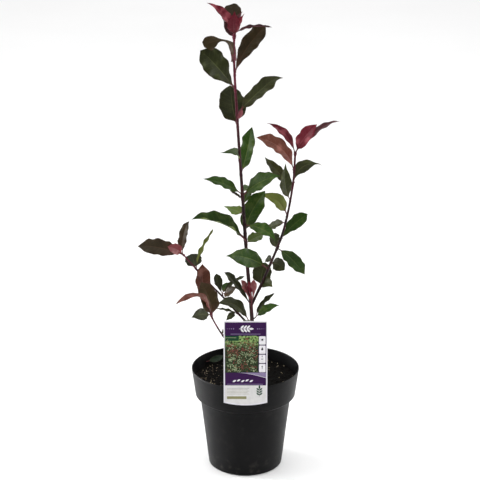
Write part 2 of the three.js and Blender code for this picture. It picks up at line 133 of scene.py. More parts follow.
# Leaves, finer than the source: rings, section, midrib, veins, waves, hooked tip, teeth and droop
BLADE_THICKNESS = 0.55
STALK_RINGS = 7
RING_SPACING = 1.7
FEWEST_RINGS = 22
MOST_RINGS = 66
HALF_SECTION = (0, 0.03, 0.08, 0.18, 0.32, 0.48, 0.64, 0.78, 0.89, 0.96, 1)
MIDRIB_HEIGHT = 0.75
MIDRIB_GROOVE = 0.3
MIDRIB_WIDTH = 0.9
VEINS = 9
VEIN_SLANT = 1.3
QUILT_SHARE = 0.007
RUFFLE = 1.5
WAVE_SHARE = 0.032
HOOK = 0.03
HOOK_ONSET = 0.82
TIP_WIDTH = 0.05
TOOTH_RINGS = 3
TOOTH_DEPTH = 0.45
TOOTHED_WIDTH = 24
TOOTHLESS_SHAPE = 0.15
CUP_SHARE = 0.035
DROOP_SHARE = 0.5
DROOP_ONSET = 0.78
LEAST_HALF_WIDTH = 0.12
STALK_SWELL = 0.25
STALK_SWELL_FADE = 60
TIP_THINNING = 0.6
BAKE_MARGIN = 0.03

# The section of a leaf as a loop: over its upper side from edge to edge and back underneath
SECTION = np.array([-t for t in HALF_SECTION[:0:-1]] + list(HALF_SECTION))
LOOP = np.concatenate([SECTION, SECTION[-2:0:-1]])
LOOP_SIDE = np.concatenate([np.ones(len(SECTION)), -np.ones(len(SECTION) - 2)])
UPPER_SLOT, UNDER_SLOT, STALK_SLOT = range(3)
LOOP_SLOT = np.where(np.arange(len(LOOP)) < len(SECTION) - 1, UPPER_SLOT, UNDER_SLOT)

# Forms of blades: half widths as shares of the greatest, at even steps from foot to tip
FORMS = {
    "oval": (0.08, 0.56, 0.88, 1.0, 0.98, 0.86, 0.62, 0.24, 0),
    "round": (0.08, 0.74, 0.94, 1.0, 1.0, 0.95, 0.82, 0.52, 0),
    "even": (0.08, 0.62, 0.9, 0.96, 1.0, 1.0, 0.92, 0.5, 0),
    "spoon": (0.08, 0.3, 0.5, 0.8, 0.97, 1.0, 0.96, 0.74, 0),
    "fan": (0.08, 0.22, 0.34, 0.5, 0.7, 0.88, 1.0, 0.94, 0.5),
    "lance": (0.08, 0.46, 0.82, 1.0, 0.94, 0.76, 0.5, 0.22, 0),
    "teardrop": (0.1, 0.86, 1.0, 0.9, 0.68, 0.46, 0.28, 0.12, 0),
    "tailed": (0.08, 0.3, 0.8, 1.0, 0.92, 0.6, 0.2, 0.06, 0),
    "ribbon": (0.44, 0.62, 0.54, 0.28, 0.14, 0.3, 0.85, 1.0, 0.4),
    "wedge": (0.08, 0.2, 0.3, 0.46, 0.72, 0.94, 1.0, 0.66, 0),
    "curl": (0.3, 0.9, 1.0, 0.82, 0.6, 0.66, 0.8, 0.46, 0.1),
    "bow": (0.34, 0.92, 1.0, 1.0, 0.98, 0.94, 0.84, 0.5, 0),
}

# Stems, their buds and rounded tips, and the swelling under a leaf: all round, and on its side
LINE_STEPS = 200
STEM_SIDES = 20
STEM_RING_SPACING = 1.6
FLARE_REACH = 9
SHOOT_RADIUS = (1.5, 1.1)
BARK_RELIEF = 0.14
BUD_LENGTH = 4.5
BUD_RADIUS = 1.1
BUD_RINGS = 8
BUD_SIDES = 10
TIP_ROUND = 1.2
SWELLING = (0.35, 0.45)
SWELLING_REACH = 2.6
SWELLING_DROP = 1.5

# Tints: body and foot of the upper side, then the underside and its veins
TINTS = {
    "green": ("#233f0c", "#293b10", "#5a6d2e", "#7c8748"),
    # dark: the deep olive of older leaves, and also painted shade on leaves that sit in shadow
    "dark": ("#272a12", "#2e2a16", "#47522a", "#6c7546"),
    "light": ("#4c6026", "#586830", "#666f34", "#7d8046"),
    "bronze": ("#2f2714", "#40271a", "#4a3a28", "#6a4c38"),
    "rust": ("#5f3629", "#68302a", "#a3645c", "#bf8377"),
    "rose": ("#7c3e42", "#843a3e", "#9a605e", "#b48480"),
    "plum": ("#3a1a1e", "#451a20", "#6f3a40", "#9a5f64"),
    "wine": ("#641424", "#50121c", "#99454f", "#b8646c"),
    "fallen": ("#1c2a1c", "#263322", "#2e3a2c", "#4a5646"),
}
STALK_COLOUR = "#57222a"

# The tints of leaves, in the order in which they are made, each with a name of a slot that nothing reads
LEAF_SLOTS = {
    **dict.fromkeys(("green", "dark", "light"), "foliage_green"),
    **dict.fromkeys(("bronze", "rust"), "foliage_bronze"),
    **dict.fromkeys(("plum", "rose", "wine"), "foliage_red"),
}

# How young the bark of a stem is at its foot and tip, where it isn't the usual (0.35, 0.85)
BARK_TONES = {"main_stem": (0.0, 1.0), "right_bough": (0.3, 0.8)}

# How far brighter patches of the young leaves go towards the colour of their veins, 0.14 for the other
# tints: painted highlights on every leaf, and on the red young leaves partly their own pink blotching
PAINTED_SHEEN_AND_BLOTCH = {"wine": 0.5, "rose": 0.4, "rust": 0.3, "bronze": 0.08}

# A dropped leaf that leans on the pot's wall at the back left: its root and its row
FALLEN_ROOT = (-82, 60, 200)
FALLEN_LEAF = [0, 36, 3, 46, 14, 0.06, 0.04, 50, 20, 18, "fallen"]

# Camera: where it stands and looks, in metres, and its angle of view
CAMERA_PLACE = (-0.0111, -3.7284, 1.8149)
CAMERA_PITCH = 19.53
CAMERA_ANGLE = 14
SENSOR_WIDTH = 36

# Floor, sky and lights: the place of each, the point that it faces, its width and height, all in
# metres, its power in watts and its spread in degrees
FLOOR_REACH = 14
SKY_STRENGTH = 0.2
PLANT_MIDDLE = (0, 0, 0.5)
POT_MIDDLE = (0, 0, 0.09)
LIGHTS = {
    "overhead": ((0, 2.8, 4.2), (0, 2.8, 0), (10, 12), 450, 180),
    "front": ((0.6, -5.0, 3.4), PLANT_MIDDLE, (3, 3), 44, 180),
    "left_wall": ((-2.4, 0.3, 0.7), PLANT_MIDDLE, (2.4, 2.0), 78, 180),
    "right_wall": ((2.4, 0.5, 0.7), PLANT_MIDDLE, (2.4, 2.0), 58, 180),
    "pot_left": ((-1.5, 0.4, 0.16), POT_MIDDLE, (0.7, 0.3), 2.2, 30),
    "pot_right": ((1.5, 0.5, 0.16), POT_MIDDLE, (0.7, 0.3), 0.6, 30),
}

# Limbs that carry leaves. The path starts at the foot, the radii are those of foot and tip, and
# split is where the leafy top begins, in millimetres along the path. Each leaf is a row: place
# along the path, heading in degrees (0 right, 90 away from the viewer, 180 left, 270 to the
# viewer), rise above level, length, greatest width, arch and sideways sway as shares of the
# length, roll about the leaf's line, twist from foot to tip, fold of each half up from the
# midrib, tint, its form where it isn't oval, and the sideways hook of its tip where it is set.
LIMBS = {
    "main_stem": {
        "path": [
            [18, 0, 188], [12.5, -1, 335], [4, 3, 433.9], [-5, 9, 567.5], [-16, 7, 735.9],
            [-23, -3, 875.7], [-22, -6, 925.8],
        ],
        "radius": [4.5, 2.2],
        "flare": 3,
        "split": 538,
        "top": "leader_top",
        "leaf": "stem_leaf",
        "leaves": [
            [253, 100, -5, 58, 28, 0.08, 0, 0, 0, 15, "green"],
            [296, 51, 4, 60, 26, 0.03, -0.01, 25, 0, 15, "light"],
            [304, 182, 23, 119, 50, 0.12, 0, -10, 0, 36, "green", "bow"],
            [318, 47, 51, 96, 39, -0.18, -0.12, 25, 0, 12, "green", "even"],
            [334, 321, -9, 83, 30, 0.08, -0.06, 25, 0, 17, "green"],
            [357, 135, 4, 60, 26, 0.03, 0.01, -25, 0, 12, "light", "teardrop"],
            [375, 75, 15, 60, 20, 0.1, 0, 0, 0, 15, "green"],
            [391, 182, 34, 31, 12, 0.03, -0.09, -15, 0, 20, "bronze", "even"],
            [396, 334, 34, 100, 40, 0.05, -0.05, 50, 0, 15, "green"],
            [399, 207, 28, 98, 30, 0.04, 0.05, -40, 0, 18, "green"],
            [403, 65, -8, 64, 28, 0.1, 0, 0, 0, 15, "green"],
            [442, 62, 63, 98, 31, -0.14, -0.05, 0, 0, 12, "green", "even"],
            [473, 227, 24, 62, 26, 0.15, 0.07, -50, 0, 35, "green", "teardrop", 0.04],
            [543, 106, 56, 87, 54, 0.01, -0.05, 0, 0, 8, "dark", "round"],
            [557, 312, 63, 30, 13, -0.15, 0.01, -10, 0, 20, "plum"],
            [569, 25, 37, 118, 33, 0.03, -0.01, 30, 0, 15, "dark", "even", 0.09],
            [620, 201, 50, 112, 53, 0.04, 0.01, -75, 0, 10, "dark", "spoon"],
            [652, 35, 49, 116, 38, -0.06, -0.1, 30, 0, 12, "bronze", "spoon"],
            [679, 213, 30, 80, 28, 0.11, 0.33, -80, 0, 10, "bronze", "ribbon"],
            [726, 131, 44, 44, 19, -0.07, 0.01, -20, 0, 25, "plum"],
            [728, 99, 49, 72, 33, -0.01, 0.07, -5, 0, 12, "bronze", "fan"],
            [729, 190, 53, 88, 22, 0.03, 0.13, -55, 0, 22, "wine", "lance"],
            [730, 58, 59, 52, 20, -0.07, -0.08, 0, 0, 20, "plum"],
            [732, 274, 69, 56, 26, 0.11, -0.02, 170, 0, 22, "wine"],
            [733, 327, 64, 50, 17, 0.07, 0.08, 70, 0, 30, "wine"],
            [735, 18, 5, 78, 10, 0.02, -0.13, 25, 0, 30, "plum", "even"],
        ],
    },
    "right_bough": {
        "path": [
            [13, 0, 352], [22, 3, 371.6], [42, 12, 414.5], [77, 32, 500.3], [96, 46, 594.4],
            [101, 55, 663.6],
        ],
        "radius": [2.9, 2.0],
        "split": 213,
        "top": "right_bough_top",
        "leaf": "right_leaf",
        "leaves": [
            [34, 322, 22, 38, 25, 0.05, -0.3, 45, 0, 20, "dark"],
            [42, 77, 40, 58, 40, -0.01, -0.03, 10, 0, 15, "dark", "round"],
            [81, 217, 26, 118, 38, -0.03, 0.08, -80, 0, 12, "green"],
            [93, 313, -6, 40, 28, 0.04, -0.14, 55, 0, 15, "dark", "round"],
            [98, 113, -7, 30, 18, 0.04, 0.05, -50, 0, 20, "dark"],
            [126, 92, 22, 52, 22, 0, -0.07, 0, 0, 18, "dark", "even"],
            [128, 325, -33, 80, 31, 0.02, -0.05, 25, 0, 12, "green", "even"],
            [146, 28, 36, 78, 31, -0.06, -0.08, 30, 0, 12, "green", "spoon"],
            [184, 134, -26, 76, 23, -0.02, 0.04, -45, 0, 15, "dark"],
            [197, 141, 18, 88, 32, 0.07, -0.17, 95, 0, 14, "light", "teardrop"],
            [230, 230, 79, 84, 28, 0.03, -0.1, -110, 0, 18, "dark"],
            [257, 148, 39, 87, 26, 0.09, -0.06, -25, 0, 15, "dark"],
            [264, 27, 23, 78, 27, 0.17, -0.2, 40, 0, 12, "dark", "tailed", 0.05],
            [290, 184, 44, 106, 35, 0.08, 0.13, -40, 0, 18, "rust", "even"],
            [326, 148, 40, 88, 21, 0.09, 0.09, -25, 0, 24, "wine", "lance"],
            [328, 326, 54, 84, 30, 0.02, -0.04, 90, 0, 25, "wine", "even"],
            [329, 21, 31, 114, 20, 0.25, 0.09, 25, 0, 24, "plum", "lance"],
        ],
    },
    "left_bough": {
        "path": [[13, 0, 301], [-2, 5, 315.9], [-46, 22, 360], [-82, 38, 392.5], [-129, 58, 441.2]],
        "radius": [2.4, 1.5],
        "split": 161,
        "top": "left_bough_top",
        "leaf": "left_leaf",
        "leaves": [
            [38, 165, 8, 54, 13, 0.04, 0, 0, 0, 20, "dark", "even"],
            [48, 240, -12, 40, 14, 0, 0, -35, 0, 20, "dark"],
            [169, 101, 24, 44, 36, 0, 0, -10, 0, 15, "dark", "round"],
            [166, 51, 51, 94, 13, 0.14, -0.07, -90, 0, 16, "light", "even", 0.06],
            [206, 169, 8, 98, 40, 0.05, 0.02, -35, 0, 12, "bronze", "even"],
            [208, 73, 59, 71, 22, -0.06, -0.12, -15, 0, 15, "bronze", "even", 0.04],
            [207, 222, 33, 48, 23, -0.04, 0.07, -90, 0, 20, "rose", "round"],
        ],
    },
    "low_left_bough": {
        "path": [[16, 0, 208], [-12, -14, 243.4], [-36, -27, 278.9], [-66, -48, 338.8], [-71, -53, 357.2]],
        "radius": [2.4, 1.5],
        "split": 159,
        "top": "low_left_bough_top",
        "leaf": "low_left_leaf",
        "leaves": [
            [116, 60, 80, 14, 4, 0, 0, 0, 0, 20, "dark"],
            [167, 154, 71, 77, 40, 0.09, 0.04, -35, 0, 12, "bronze", "round"],
            [173, 105, 55, 108, 34, -0.12, -0.03, 15, 0, 15, "rust", "spoon"],
            [174, 219, 28, 100, 16, 0.17, 0.24, -50, 0, 20, "rust", "curl"],
            [173, 224, 11, 56, 26, 0.02, 0.07, -65, 0, 15, "dark"],
        ],
    },
}

# Short shoots: each stem stands on a limb at the given place and ends within its own leaves
SHOOTS = {
    "short_shoot": {
        "limb": "left_bough",
        "at": 86,
        "path": [[0, 0, 0], [-2, 1, 10]],
        "leaves": [
            [7, 112, 48, 46, 19, -0.07, -0.03, 0, 0, 18, "dark", "spoon"],
            [9, 58, 22, 36, 18, -0.04, -0.04, 35, 0, 18, "green"],
            [9, 26, 29, 60, 12, 0.07, -0.03, 15, 0, 18, "dark", "even"],
            [8, 326, 32, 40, 22, -0.01, 0.1, 50, 0, 18, "bronze", "round"],
        ],
    },
    "centre_shoot": {
        "limb": "main_stem",
        "at": 128,
        "path": [[0, 0, 0], [0, -9, 12], [-1, -12, 50]],
        "leaves": [
            [40, 172, 53, 92, 20, -0.07, 0.1, -30, 0, 20, "dark", "spoon"],
            [49, 162, 65, 51, 17, -0.15, 0.1, -30, 0, 18, "rose", "wedge"],
            [50, 50, 82, 48, 16, -0.04, 0.03, 10, 0, 18, "rose", "wedge"],
            [51, 128, 78, 43, 15, 0, 0, -5, 0, 20, "wine", "wedge"],
        ],
    },
    "base_shoot_right": {
        "limb": "main_stem",
        "at": 132,
        "path": [[0, 0, 0], [5, 1, 2], [9, 2, 5]],
        "leaves": [
            [7, 339, 35, 64, 21, 0.03, -0.06, 50, 0, 18, "green"],
            [9, 36, 40, 65, 12, 0.04, -0.1, 15, 0, 18, "dark", "even"],
        ],
    },
    "base_shoot_left": {
        "limb": "main_stem",
        "at": 126,
        "path": [[0, 0, 0], [-5, -5, 2], [-9, -9, 5]],
        "leaves": [
            [8, 198, 36, 84, 30, 0, 0.24, -40, 0, 18, "dark"],
            [10, 250, 20, 34, 14, 0.1, 0, 0, 0, 20, "dark"],
        ],
    },
}


def seeded(seed):
    """The part's own row of even draws, the same on every run."""
    state = seed
    while True:
        state = (state * 1664525 + 1013904223) % 2**32
        yield state / 2**32


def smooth(low, high, value):
    """A smooth step from 0 at low to 1 at high."""
    share = np.clip((value - low) / (high - low), 0, 1)
    return share * share * (3 - 2 * share)


def unit(vectors):
    """Vectors brought to a length of 1."""
    return vectors / np.linalg.norm(vectors, axis=-1, keepdims=True)


def arc(across, up, radius, start, end, steps):
    """Points on an arc round a centre, between two angles in degrees."""
    angles = np.radians(np.linspace(start, end, steps))
    return [(across + radius * math.cos(a), up + radius * math.sin(a)) for a in angles]


def colour(text, level=1.0):
    """A colour written as #rrggbb in linear light, brought to a level of its brightness."""
    parts = [int(text[i : i + 2], 16) / 255 for i in (1, 3, 5)]
    linear = (v / 12.92 if v <= 0.04045 else ((v + 0.055) / 1.055) ** 2.4 for v in parts)
    return (*(level * v for v in linear), 1)


def corners_of(grid):
    """The four corners of each cell of a grid of values, in turn."""
    cells = np.stack([grid[:-1, :-1], grid[:-1, 1:], grid[1:, 1:], grid[1:, :-1]], axis=2)
    return cells.reshape(-1, 4, *grid.shape[2:])


class Pile:
    """The points, faces and maps of one mesh, gathered from many parts."""

    def __init__(self):
        self.points = []
        self.tones = []
        self.faces = []
        self.slots = []
        self.maps = {"Place": [], "OFBake": []}
        self.size = 0

    def add_points(self, points, tone):
        self.points.append(points.reshape(-1, 3))
        self.tones.append(np.broadcast_to(tone, points.shape[:-1]).reshape(-1))
        start = self.size
        self.size += len(self.points[-1])
        return start

    def grid(self, points, slots, tone=0.0, **maps):
        """Rows of points that close round, with a cap at each end and map values for each corner."""
        rows, columns = points.shape[:2]
        start = self.add_points(points, tone)
        index = start + np.arange(rows * columns).reshape(rows, columns)
        slots = np.broadcast_to(slots, (rows - 1, columns))
        self.faces.extend(corners_of(np.hstack([index, index[:, :1]])).tolist())
        self.slots.extend(slots.reshape(-1).tolist())
        for title, values in maps.items():
            self.maps[title].append(corners_of(values).reshape(-1, 2))
        for row, order in ((0, -1), (rows - 1, 1)):
            self.faces.append(index[row][::order].tolist())
            self.slots.append(int(slots[min(row, rows - 2), 0]))
            for title, values in maps.items():
                self.maps[title].append(values[row, :-1][::order])

    def plate(self, edge, back, front, slot):
        """A flat piece that faces -Y, from (x, z) points that run anticlockwise for the viewer."""
        ring = np.array([[x, 0, z] for x, z in edge], float)
        start = self.add_points(np.stack([ring - [0, back, 0], ring - [0, front, 0]]), 0.0)
        far = list(range(start, start + len(edge)))
        near = [number + len(edge) for number in far]
        faces = [near, far[::-1], *zip(far, far[1:] + far[:1], near[1:] + near[:1], near)]
        self.faces.extend(faces)
        self.slots.extend([slot] * len(faces))

    def mesh(self, name):
        made = bpy.data.meshes.new(name)
        made.from_pydata((np.concatenate(self.points) * MM).tolist(), [], self.faces)
        return made


def add_object(name, data):
    """An object for a mesh, a lamp or a camera, linked to the scene."""
    made = bpy.data.objects.new(name, data)
    bpy.context.scene.collection.objects.link(made)
    return made


def add_piece(name, pile, materials, nodes, sharp=40):
    """A joined mesh of a pile as a piece of the object that stands for some CAD nodes."""
    mesh = pile.mesh(name)
    for material in materials:
        mesh.materials.append(material)
    mesh.polygons.foreach_set("material_index", pile.slots)
    mesh.polygons.foreach_set("use_smooth", [True] * len(pile.faces))
    for title, values in pile.maps.items():
        if values:
            layer = mesh.uv_layers.new(name=title)
            layer.data.foreach_set("uv", np.concatenate(values).reshape(-1))
    tone = mesh.attributes.new("tone", "FLOAT", "POINT")
    tone.data.foreach_set("value", np.concatenate(pile.tones))
    mesh.set_sharp_from_angle(angle=math.radians(sharp))
    mesh.validate()
    piece = add_object(name, mesh)
    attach(piece, "root")
    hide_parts(*nodes)
    return piece


class Paint:
    """A material laid node by node. A value given to a call is a number, a socket, or a colour
    as #rrggbb or in linear light."""

    def __init__(self, name, specular):
        self.material = bpy.data.materials.new(name)
        self.material.use_nodes = True
        self.tree = self.material.node_tree
        self.shader = self.tree.nodes["Principled BSDF"]
        self.give(self.shader, {"Specular IOR Level": specular})

    def give(self, node, values):
        for key, value in values.items():
            if isinstance(value, bpy.types.NodeSocket):
                self.tree.links.new(value, node.inputs[key])
            else:
                node.inputs[key].default_value = colour(value) if isinstance(value, str) else value

    def node(self, kind, values, **settings):
        made = self.tree.nodes.new("ShaderNode" + kind)
        for key, value in settings.items():
            setattr(made, key, value)
        self.give(made, values)
        return made

    def math(self, operation, *values):
        return self.node("Math", dict(enumerate(values)), operation=operation).outputs[0]

    def mix(self, share, first, second, blend="MIX"):
        values = {0: share, 6: first, 7: second}
        return self.node("Mix", values, data_type="RGBA", blend_type=blend).outputs[2]

    def spread(self, value, low, high, to_low=0.0, to_high=1.0):
        values = {"Value": value, "From Min": low, "From Max": high}
        values |= {"To Min": to_low, "To Max": to_high}
        return self.node("MapRange", values, interpolation_type="SMOOTHSTEP").outputs["Result"]

    def over(self, base, top, value, low, high, to_high=1.0, to_low=0.0):
        """A colour laid over a base where a value rises from low to high."""
        return self.mix(self.spread(value, low, high, to_low, to_high), base, top)

    def where(self, stretch=(1, 1, 1)):
        """The place in the object, in metres, stretched."""
        place = self.node("TexCoord", {}).outputs["Object"]
        return self.node("Mapping", {"Vector": place, "Scale": stretch}).outputs["Vector"]

    def height(self):
        return self.node("SeparateXYZ", {0: self.where()}).outputs[2]

    def noise(self, scale, detail=3.0, stretch=(1, 1, 1)):
        values = {"Vector": self.where(stretch), "Scale": scale, "Detail": detail}
        return self.node("TexNoise", values).outputs[0]

    def cells(self, scale, stretch=(1, 1, 1), **settings):
        values = {"Vector": self.where(stretch), "Scale": scale}
        return self.node("TexVoronoi", values, **settings).outputs[0]

    def tone(self):
        return self.node("Attribute", {}, attribute_name="tone").outputs["Fac"]

    def place(self):
        """The two values of the map that says where on its leaf or stem a point lies."""
        split = self.node("SeparateXYZ", {0: self.node("UVMap", {}, uv_map="Place").outputs[0]})
        return split.outputs[0], split.outputs[1]

    def finish(self, base, roughness, height=None, depth=0.0002, strength=0.6):
        values = {"Base Color": base, "Roughness": roughness}
        if height is not None:
            bump = {"Height": height, "Distance": depth, "Strength": strength}
            values["Normal"] = self.node("Bump", bump).outputs[0]
        self.give(self.shader, values)
        return self.material


def direction(heading, rise):
    """A unit vector from a heading and a rise in degrees."""
    turn, lift = math.radians(heading), math.radians(rise)
    flat = math.cos(lift)
    return Vector((flat * math.cos(turn), flat * math.sin(turn), math.sin(lift)))


class Line:
    """A curve kept as close points with their distances along it."""

    def __init__(self, points):
        self.points = points
        steps = np.linalg.norm(np.diff(points, axis=0), axis=1)
        self.along = np.concatenate([[0], np.cumsum(steps)])
        self.length = self.along[-1]

    def at(self, distance):
        return np.stack([np.interp(distance, self.along, p) for p in self.points.T], axis=-1)

    def ahead(self, distance):
        reach = self.length / LINE_STEPS
        after = self.at(np.minimum(distance + reach, self.length))
        return unit(after - self.at(np.maximum(distance - reach, 0)))


def limb_line(path):
    """A centripetal Catmull-Rom curve through the points of a path."""
    stops = [np.array(point, float) for point in path]
    stops = [2 * stops[0] - stops[1], *stops, 2 * stops[-1] - stops[-2]]
    share = np.linspace(0, 1, LINE_STEPS, endpoint=False)[:, None]
    points = []
    for a, b, c, d in zip(stops, stops[1:], stops[2:], stops[3:]):
        before, span, after = (math.sqrt(math.dist(p, q)) for p, q in ((a, b), (b, c), (c, d)))
        leave = span * ((b - a) / before - (c - a) / (before + span) + (c - b) / span)
        reach = span * ((c - b) / span - (d - b) / (span + after) + (d - c) / after)
        bend = 3 * (c - b) - 2 * leave - reach
        points.append(b + leave * share + bend * share**2 + (2 * (b - c) + leave + reach) * share**3)
    return Line(np.vstack([*points, stops[-2]]))


def cell(number, count):
    """The corner and side of a square cell of the bake map."""
    across = math.ceil(math.sqrt(count))
    return np.array([number % across, number // across]) / across, 1 / across


def in_cell(square, first, second):
    """Map values from 0 to 1 set into a cell with a margin round them."""
    corner, side = square
    inner = np.stack([first, second], axis=-1) * (1 - 2 * BAKE_MARGIN) + BAKE_MARGIN
    return corner + inner * side


def outline(share, form):
    """Half width of a blade as a share of its greatest, from its foot to its drawn-out tip."""
    steps = len(FORMS[form]) - 1
    widths = np.array([FORMS[form][0], *FORMS[form], -FORMS[form][-2]])
    first = np.minimum((share * steps).astype(int), steps - 1)
    rest = share * steps - first
    a, b, c, d = (widths[first + i] for i in range(4))
    bend = 2 * a - 5 * b + 4 * c - d + (3 * b - 3 * c + d - a) * rest
    body = b + (c - a + bend * rest) * rest / 2
    return np.maximum(body, TIP_WIDTH * np.clip((1 - share) * 8, 0, 1) ** 0.7)


def leaf_frame(root, row, share, along):
    """The middle of each ring of a leaf on its arching line, and which way its side and top face."""
    length, _, arch, sway, roll, twist = row[3:9]
    chord = direction(row[1], row[2])
    crown = (Vector((0, 0, 1)) - chord * chord.z).normalized()
    face = Quaternion(chord, math.radians(roll)) @ crown
    crest = root + chord * length * CREST_SHARE
    crest += face * 2 * arch * length + chord.cross(face) * 2 * sway * length
    tip = root + chord * length
    step = np.linspace(0, 1, LINE_STEPS)[:, None]
    ends = (1 - step) ** 2 * np.array(root) + step**2 * np.array(tip)
    spine = Line(ends + 2 * step * (1 - step) * np.array(crest))
    ahead = spine.ahead(along * spine.length)
    facing = np.array([Quaternion(chord, math.radians(twist) * s) @ face for s in share])
    side = unit(np.cross(ahead, facing))
    return spine.at(along * spine.length), side, np.cross(side, ahead)


def leaf_section(row, share, along, phase, fate):
    """How far sideways and how high each point of a leaf's rings lies from its line."""
    length, width, fold = row[3], row[4], math.radians(row[9])
    share, along = share[:, None], along[:, None]
    shape = outline(share, row[11] if len(row) > 11 else "oval")
    saw = np.arange(len(share))[:, None] % TOOTH_RINGS / TOOTH_RINGS - 0.5
    teeth = TOOTH_DEPTH * saw * (shape > TOOTHLESS_SHAPE) * min(1, width / TOOTHED_WIDTH)
    thin = STALK_RADIUS * min(1, 0.45 + length / 160) * np.clip(1 - STALK_FADE * share, 0, 1)
    half_width = np.maximum(width / 2 * shape, np.maximum(thin, LEAST_HALF_WIDTH))
    half_width *= 1 + STALK_SWELL * np.exp(-along * STALK_SWELL_FADE)
    half_depth = np.maximum(BLADE_THICKNESS / 2 * (1 - TIP_THINNING * share), thin)

    handed, off = np.sign(LOOP), np.abs(LOOP)
    turn = 2 * np.pi * RIPPLE_TURNS * share + phase
    in_wave = np.sin(2.2 * turn + 2.1 * handed) + 0.5 * np.sin(4.3 * turn - 1.3 * handed + 5 * fate)
    across = LOOP * half_width * (1 + WAVE_SHARE * in_wave * smooth(0.08, 0.3, share) * off)
    across += handed * (off > 0.99) * teeth
    height = (np.sqrt(across**2 + 1) - 1) * math.sin(fold) * np.minimum(1, FOLD_ONSET * share)
    ripple = RIPPLE_SHARE * length * shape
    height += ripple * handed * LOOP**2 * np.sin(turn)
    height += ripple * RUFFLE * off**3 * np.sin(2.7 * turn + 1.9 * handed + 5 * fate)
    height -= CUP_SHARE * width * LOOP**4 * shape
    vein = 0.5 + 0.5 * np.cos(2 * np.pi * (VEINS * share - VEIN_SLANT * off))
    height -= QUILT_SHARE * length * vein**2 * (1 - LOOP**2) * off * shape
    height -= DROOP_SHARE * length * (0.3 + fate) * np.clip(share - DROOP_ONSET, 0, 1) ** 2
    rib = np.exp(-((across / MIDRIB_WIDTH) ** 2)) * smooth(0, 0.12, share) * (1 - 0.8 * share)
    height -= rib * np.where(LOOP_SIDE > 0, MIDRIB_GROOVE, MIDRIB_HEIGHT)
    height += LOOP_SIDE * np.sqrt(np.clip(1 - LOOP**2, 0, 1)) * half_depth
    hook = row[12] if len(row) > 12 else HOOK * (2 * fate - 1)
    bent = hook * length * np.clip(share - HOOK_ONSET, 0, 1) ** 2 / (1 - HOOK_ONSET) ** 2
    return across * math.cos(fold) + bent, height


def add_leaf(pile, root, row, phase, fate, square):
    """One leaf as a single closed surface: a round stalk that widens into a thin folded blade."""
    rings = int(np.clip(row[3] / RING_SPACING, FEWEST_RINGS, MOST_RINGS))
    blade = np.linspace(0, 1, rings)
    stalk = np.linspace(0, 1, STALK_RINGS, endpoint=False)
    share = np.concatenate([np.zeros(STALK_RINGS), blade])
    along = np.concatenate([STALK_SHARE * stalk, STALK_SHARE + (1 - STALK_SHARE) * blade])
    centre, side, over = leaf_frame(root, row, share, along)
    across, height = leaf_section(row, share, along, phase, fate)
    points = centre[:, None] + side[:, None] * across[..., None] + over[:, None] * height[..., None]

    slots = np.tile(LOOP_SLOT, (len(share) - 1, 1))
    slots[:STALK_RINGS] = STALK_SLOT
    round_map, up_map = np.meshgrid(0.5 + 0.5 * np.append(LOOP, LOOP[0]), np.append(stalk - 1, blade))
    laps, ups = np.meshgrid(np.linspace(0, 1, len(LOOP) + 1), along)
    places = np.stack([up_map, round_map], axis=-1)
    pile.grid(points, slots, fate, Place=places, OFBake=in_cell(square, ups, laps))


def taper(limb, length):
    """Radius along a limb: an even taper, with a flare at a rooted foot."""
    foot, tip = limb.get("radius", SHOOT_RADIUS)
    flare = limb.get("flare", 0)
    return lambda s: foot + (tip - foot) * s / length + flare * np.exp(-s / FLARE_REACH)


def add_tube(pile, points, share, tone, square):
    """Rings of points as a closed tube with its maps."""
    laps, shares = np.meshgrid(np.linspace(0, 1, points.shape[1] + 1), share)
    places = np.stack([shares, laps], axis=-1)
    pile.grid(points, 0, tone, Place=places, OFBake=in_cell(square, shares, laps))


def add_stem(pile, line, radius_at, foot, buds, tones, square):
    """A stem with bark relief, a swelling under each leaf, and a rounded tip."""
    count = max(6, round((line.length - foot) / STEM_RING_SPACING))
    distance = np.linspace(foot, line.length, count)
    ahead = line.ahead(distance)
    normal = unit(np.cross(ahead, [0, 1, 0]))
    other = np.cross(ahead, normal)
    angle = np.linspace(0, 2 * np.pi, STEM_SIDES, endpoint=False)[None, :, None]
    rays = normal[:, None] * np.cos(angle) + other[:, None] * np.sin(angle)
    radius = np.repeat(radius_at(distance)[:, None], STEM_SIDES, axis=1)
    for place, heading in buds:
        toward = rays @ np.array(direction(heading, 20))
        near = np.exp(-(((distance - place + SWELLING_DROP) / SWELLING_REACH) ** 2))[:, None]
        radius += near * (SWELLING[0] + SWELLING[1] * np.clip(toward, 0, 1))
    rounding = np.sqrt(np.clip((line.length - distance) / TIP_ROUND, 0.02, 1))[:, None]
    points = line.at(distance)[:, None] + rays * (radius * rounding)[..., None]
    for point, ray, thick in zip(points.reshape(-1, 3), rays.reshape(-1, 3), radius.reshape(-1)):
        x, y, z = point
        relief = noise.noise((x * 0.9, y * 0.9, z * 0.22)) + 0.5 * noise.noise((x, y, z * 1.3))
        point += ray * relief * BARK_RELIEF * min(1, thick / 2)
    share = (distance - foot) / (line.length - foot)
    add_tube(pile, points, share, np.interp(share, (0, 1), tones)[:, None], square)


def add_bud(pile, line, place, heading, radius, tone, square):
    """A small pointed bud that sits in the angle over a leaf stalk."""
    ahead = line.ahead(place)
    outward = np.array(direction(heading, 0))
    outward = unit(outward - ahead * (outward @ ahead))
    lean = ahead * 0.9 + outward * 0.44
    sideways = unit(np.cross(lean, outward))
    thick = np.cross(sideways, lean)
    share = np.linspace(0, 1, BUD_RINGS)
    size = BUD_RADIUS * np.sin(np.pi * (0.12 + 0.86 * share) ** 0.7)
    angle = np.linspace(0, 2 * np.pi, BUD_SIDES, endpoint=False)[:, None]
    start = line.at(place) + outward * radius * 0.9
    centre = start + lean * (BUD_LENGTH * share)[:, None] + ahead * 1.5
    rays = sideways * np.cos(angle) + thick * np.sin(angle)
    add_tube(pile, centre[:, None] + rays[None] * size[:, None, None], share, tone, square)


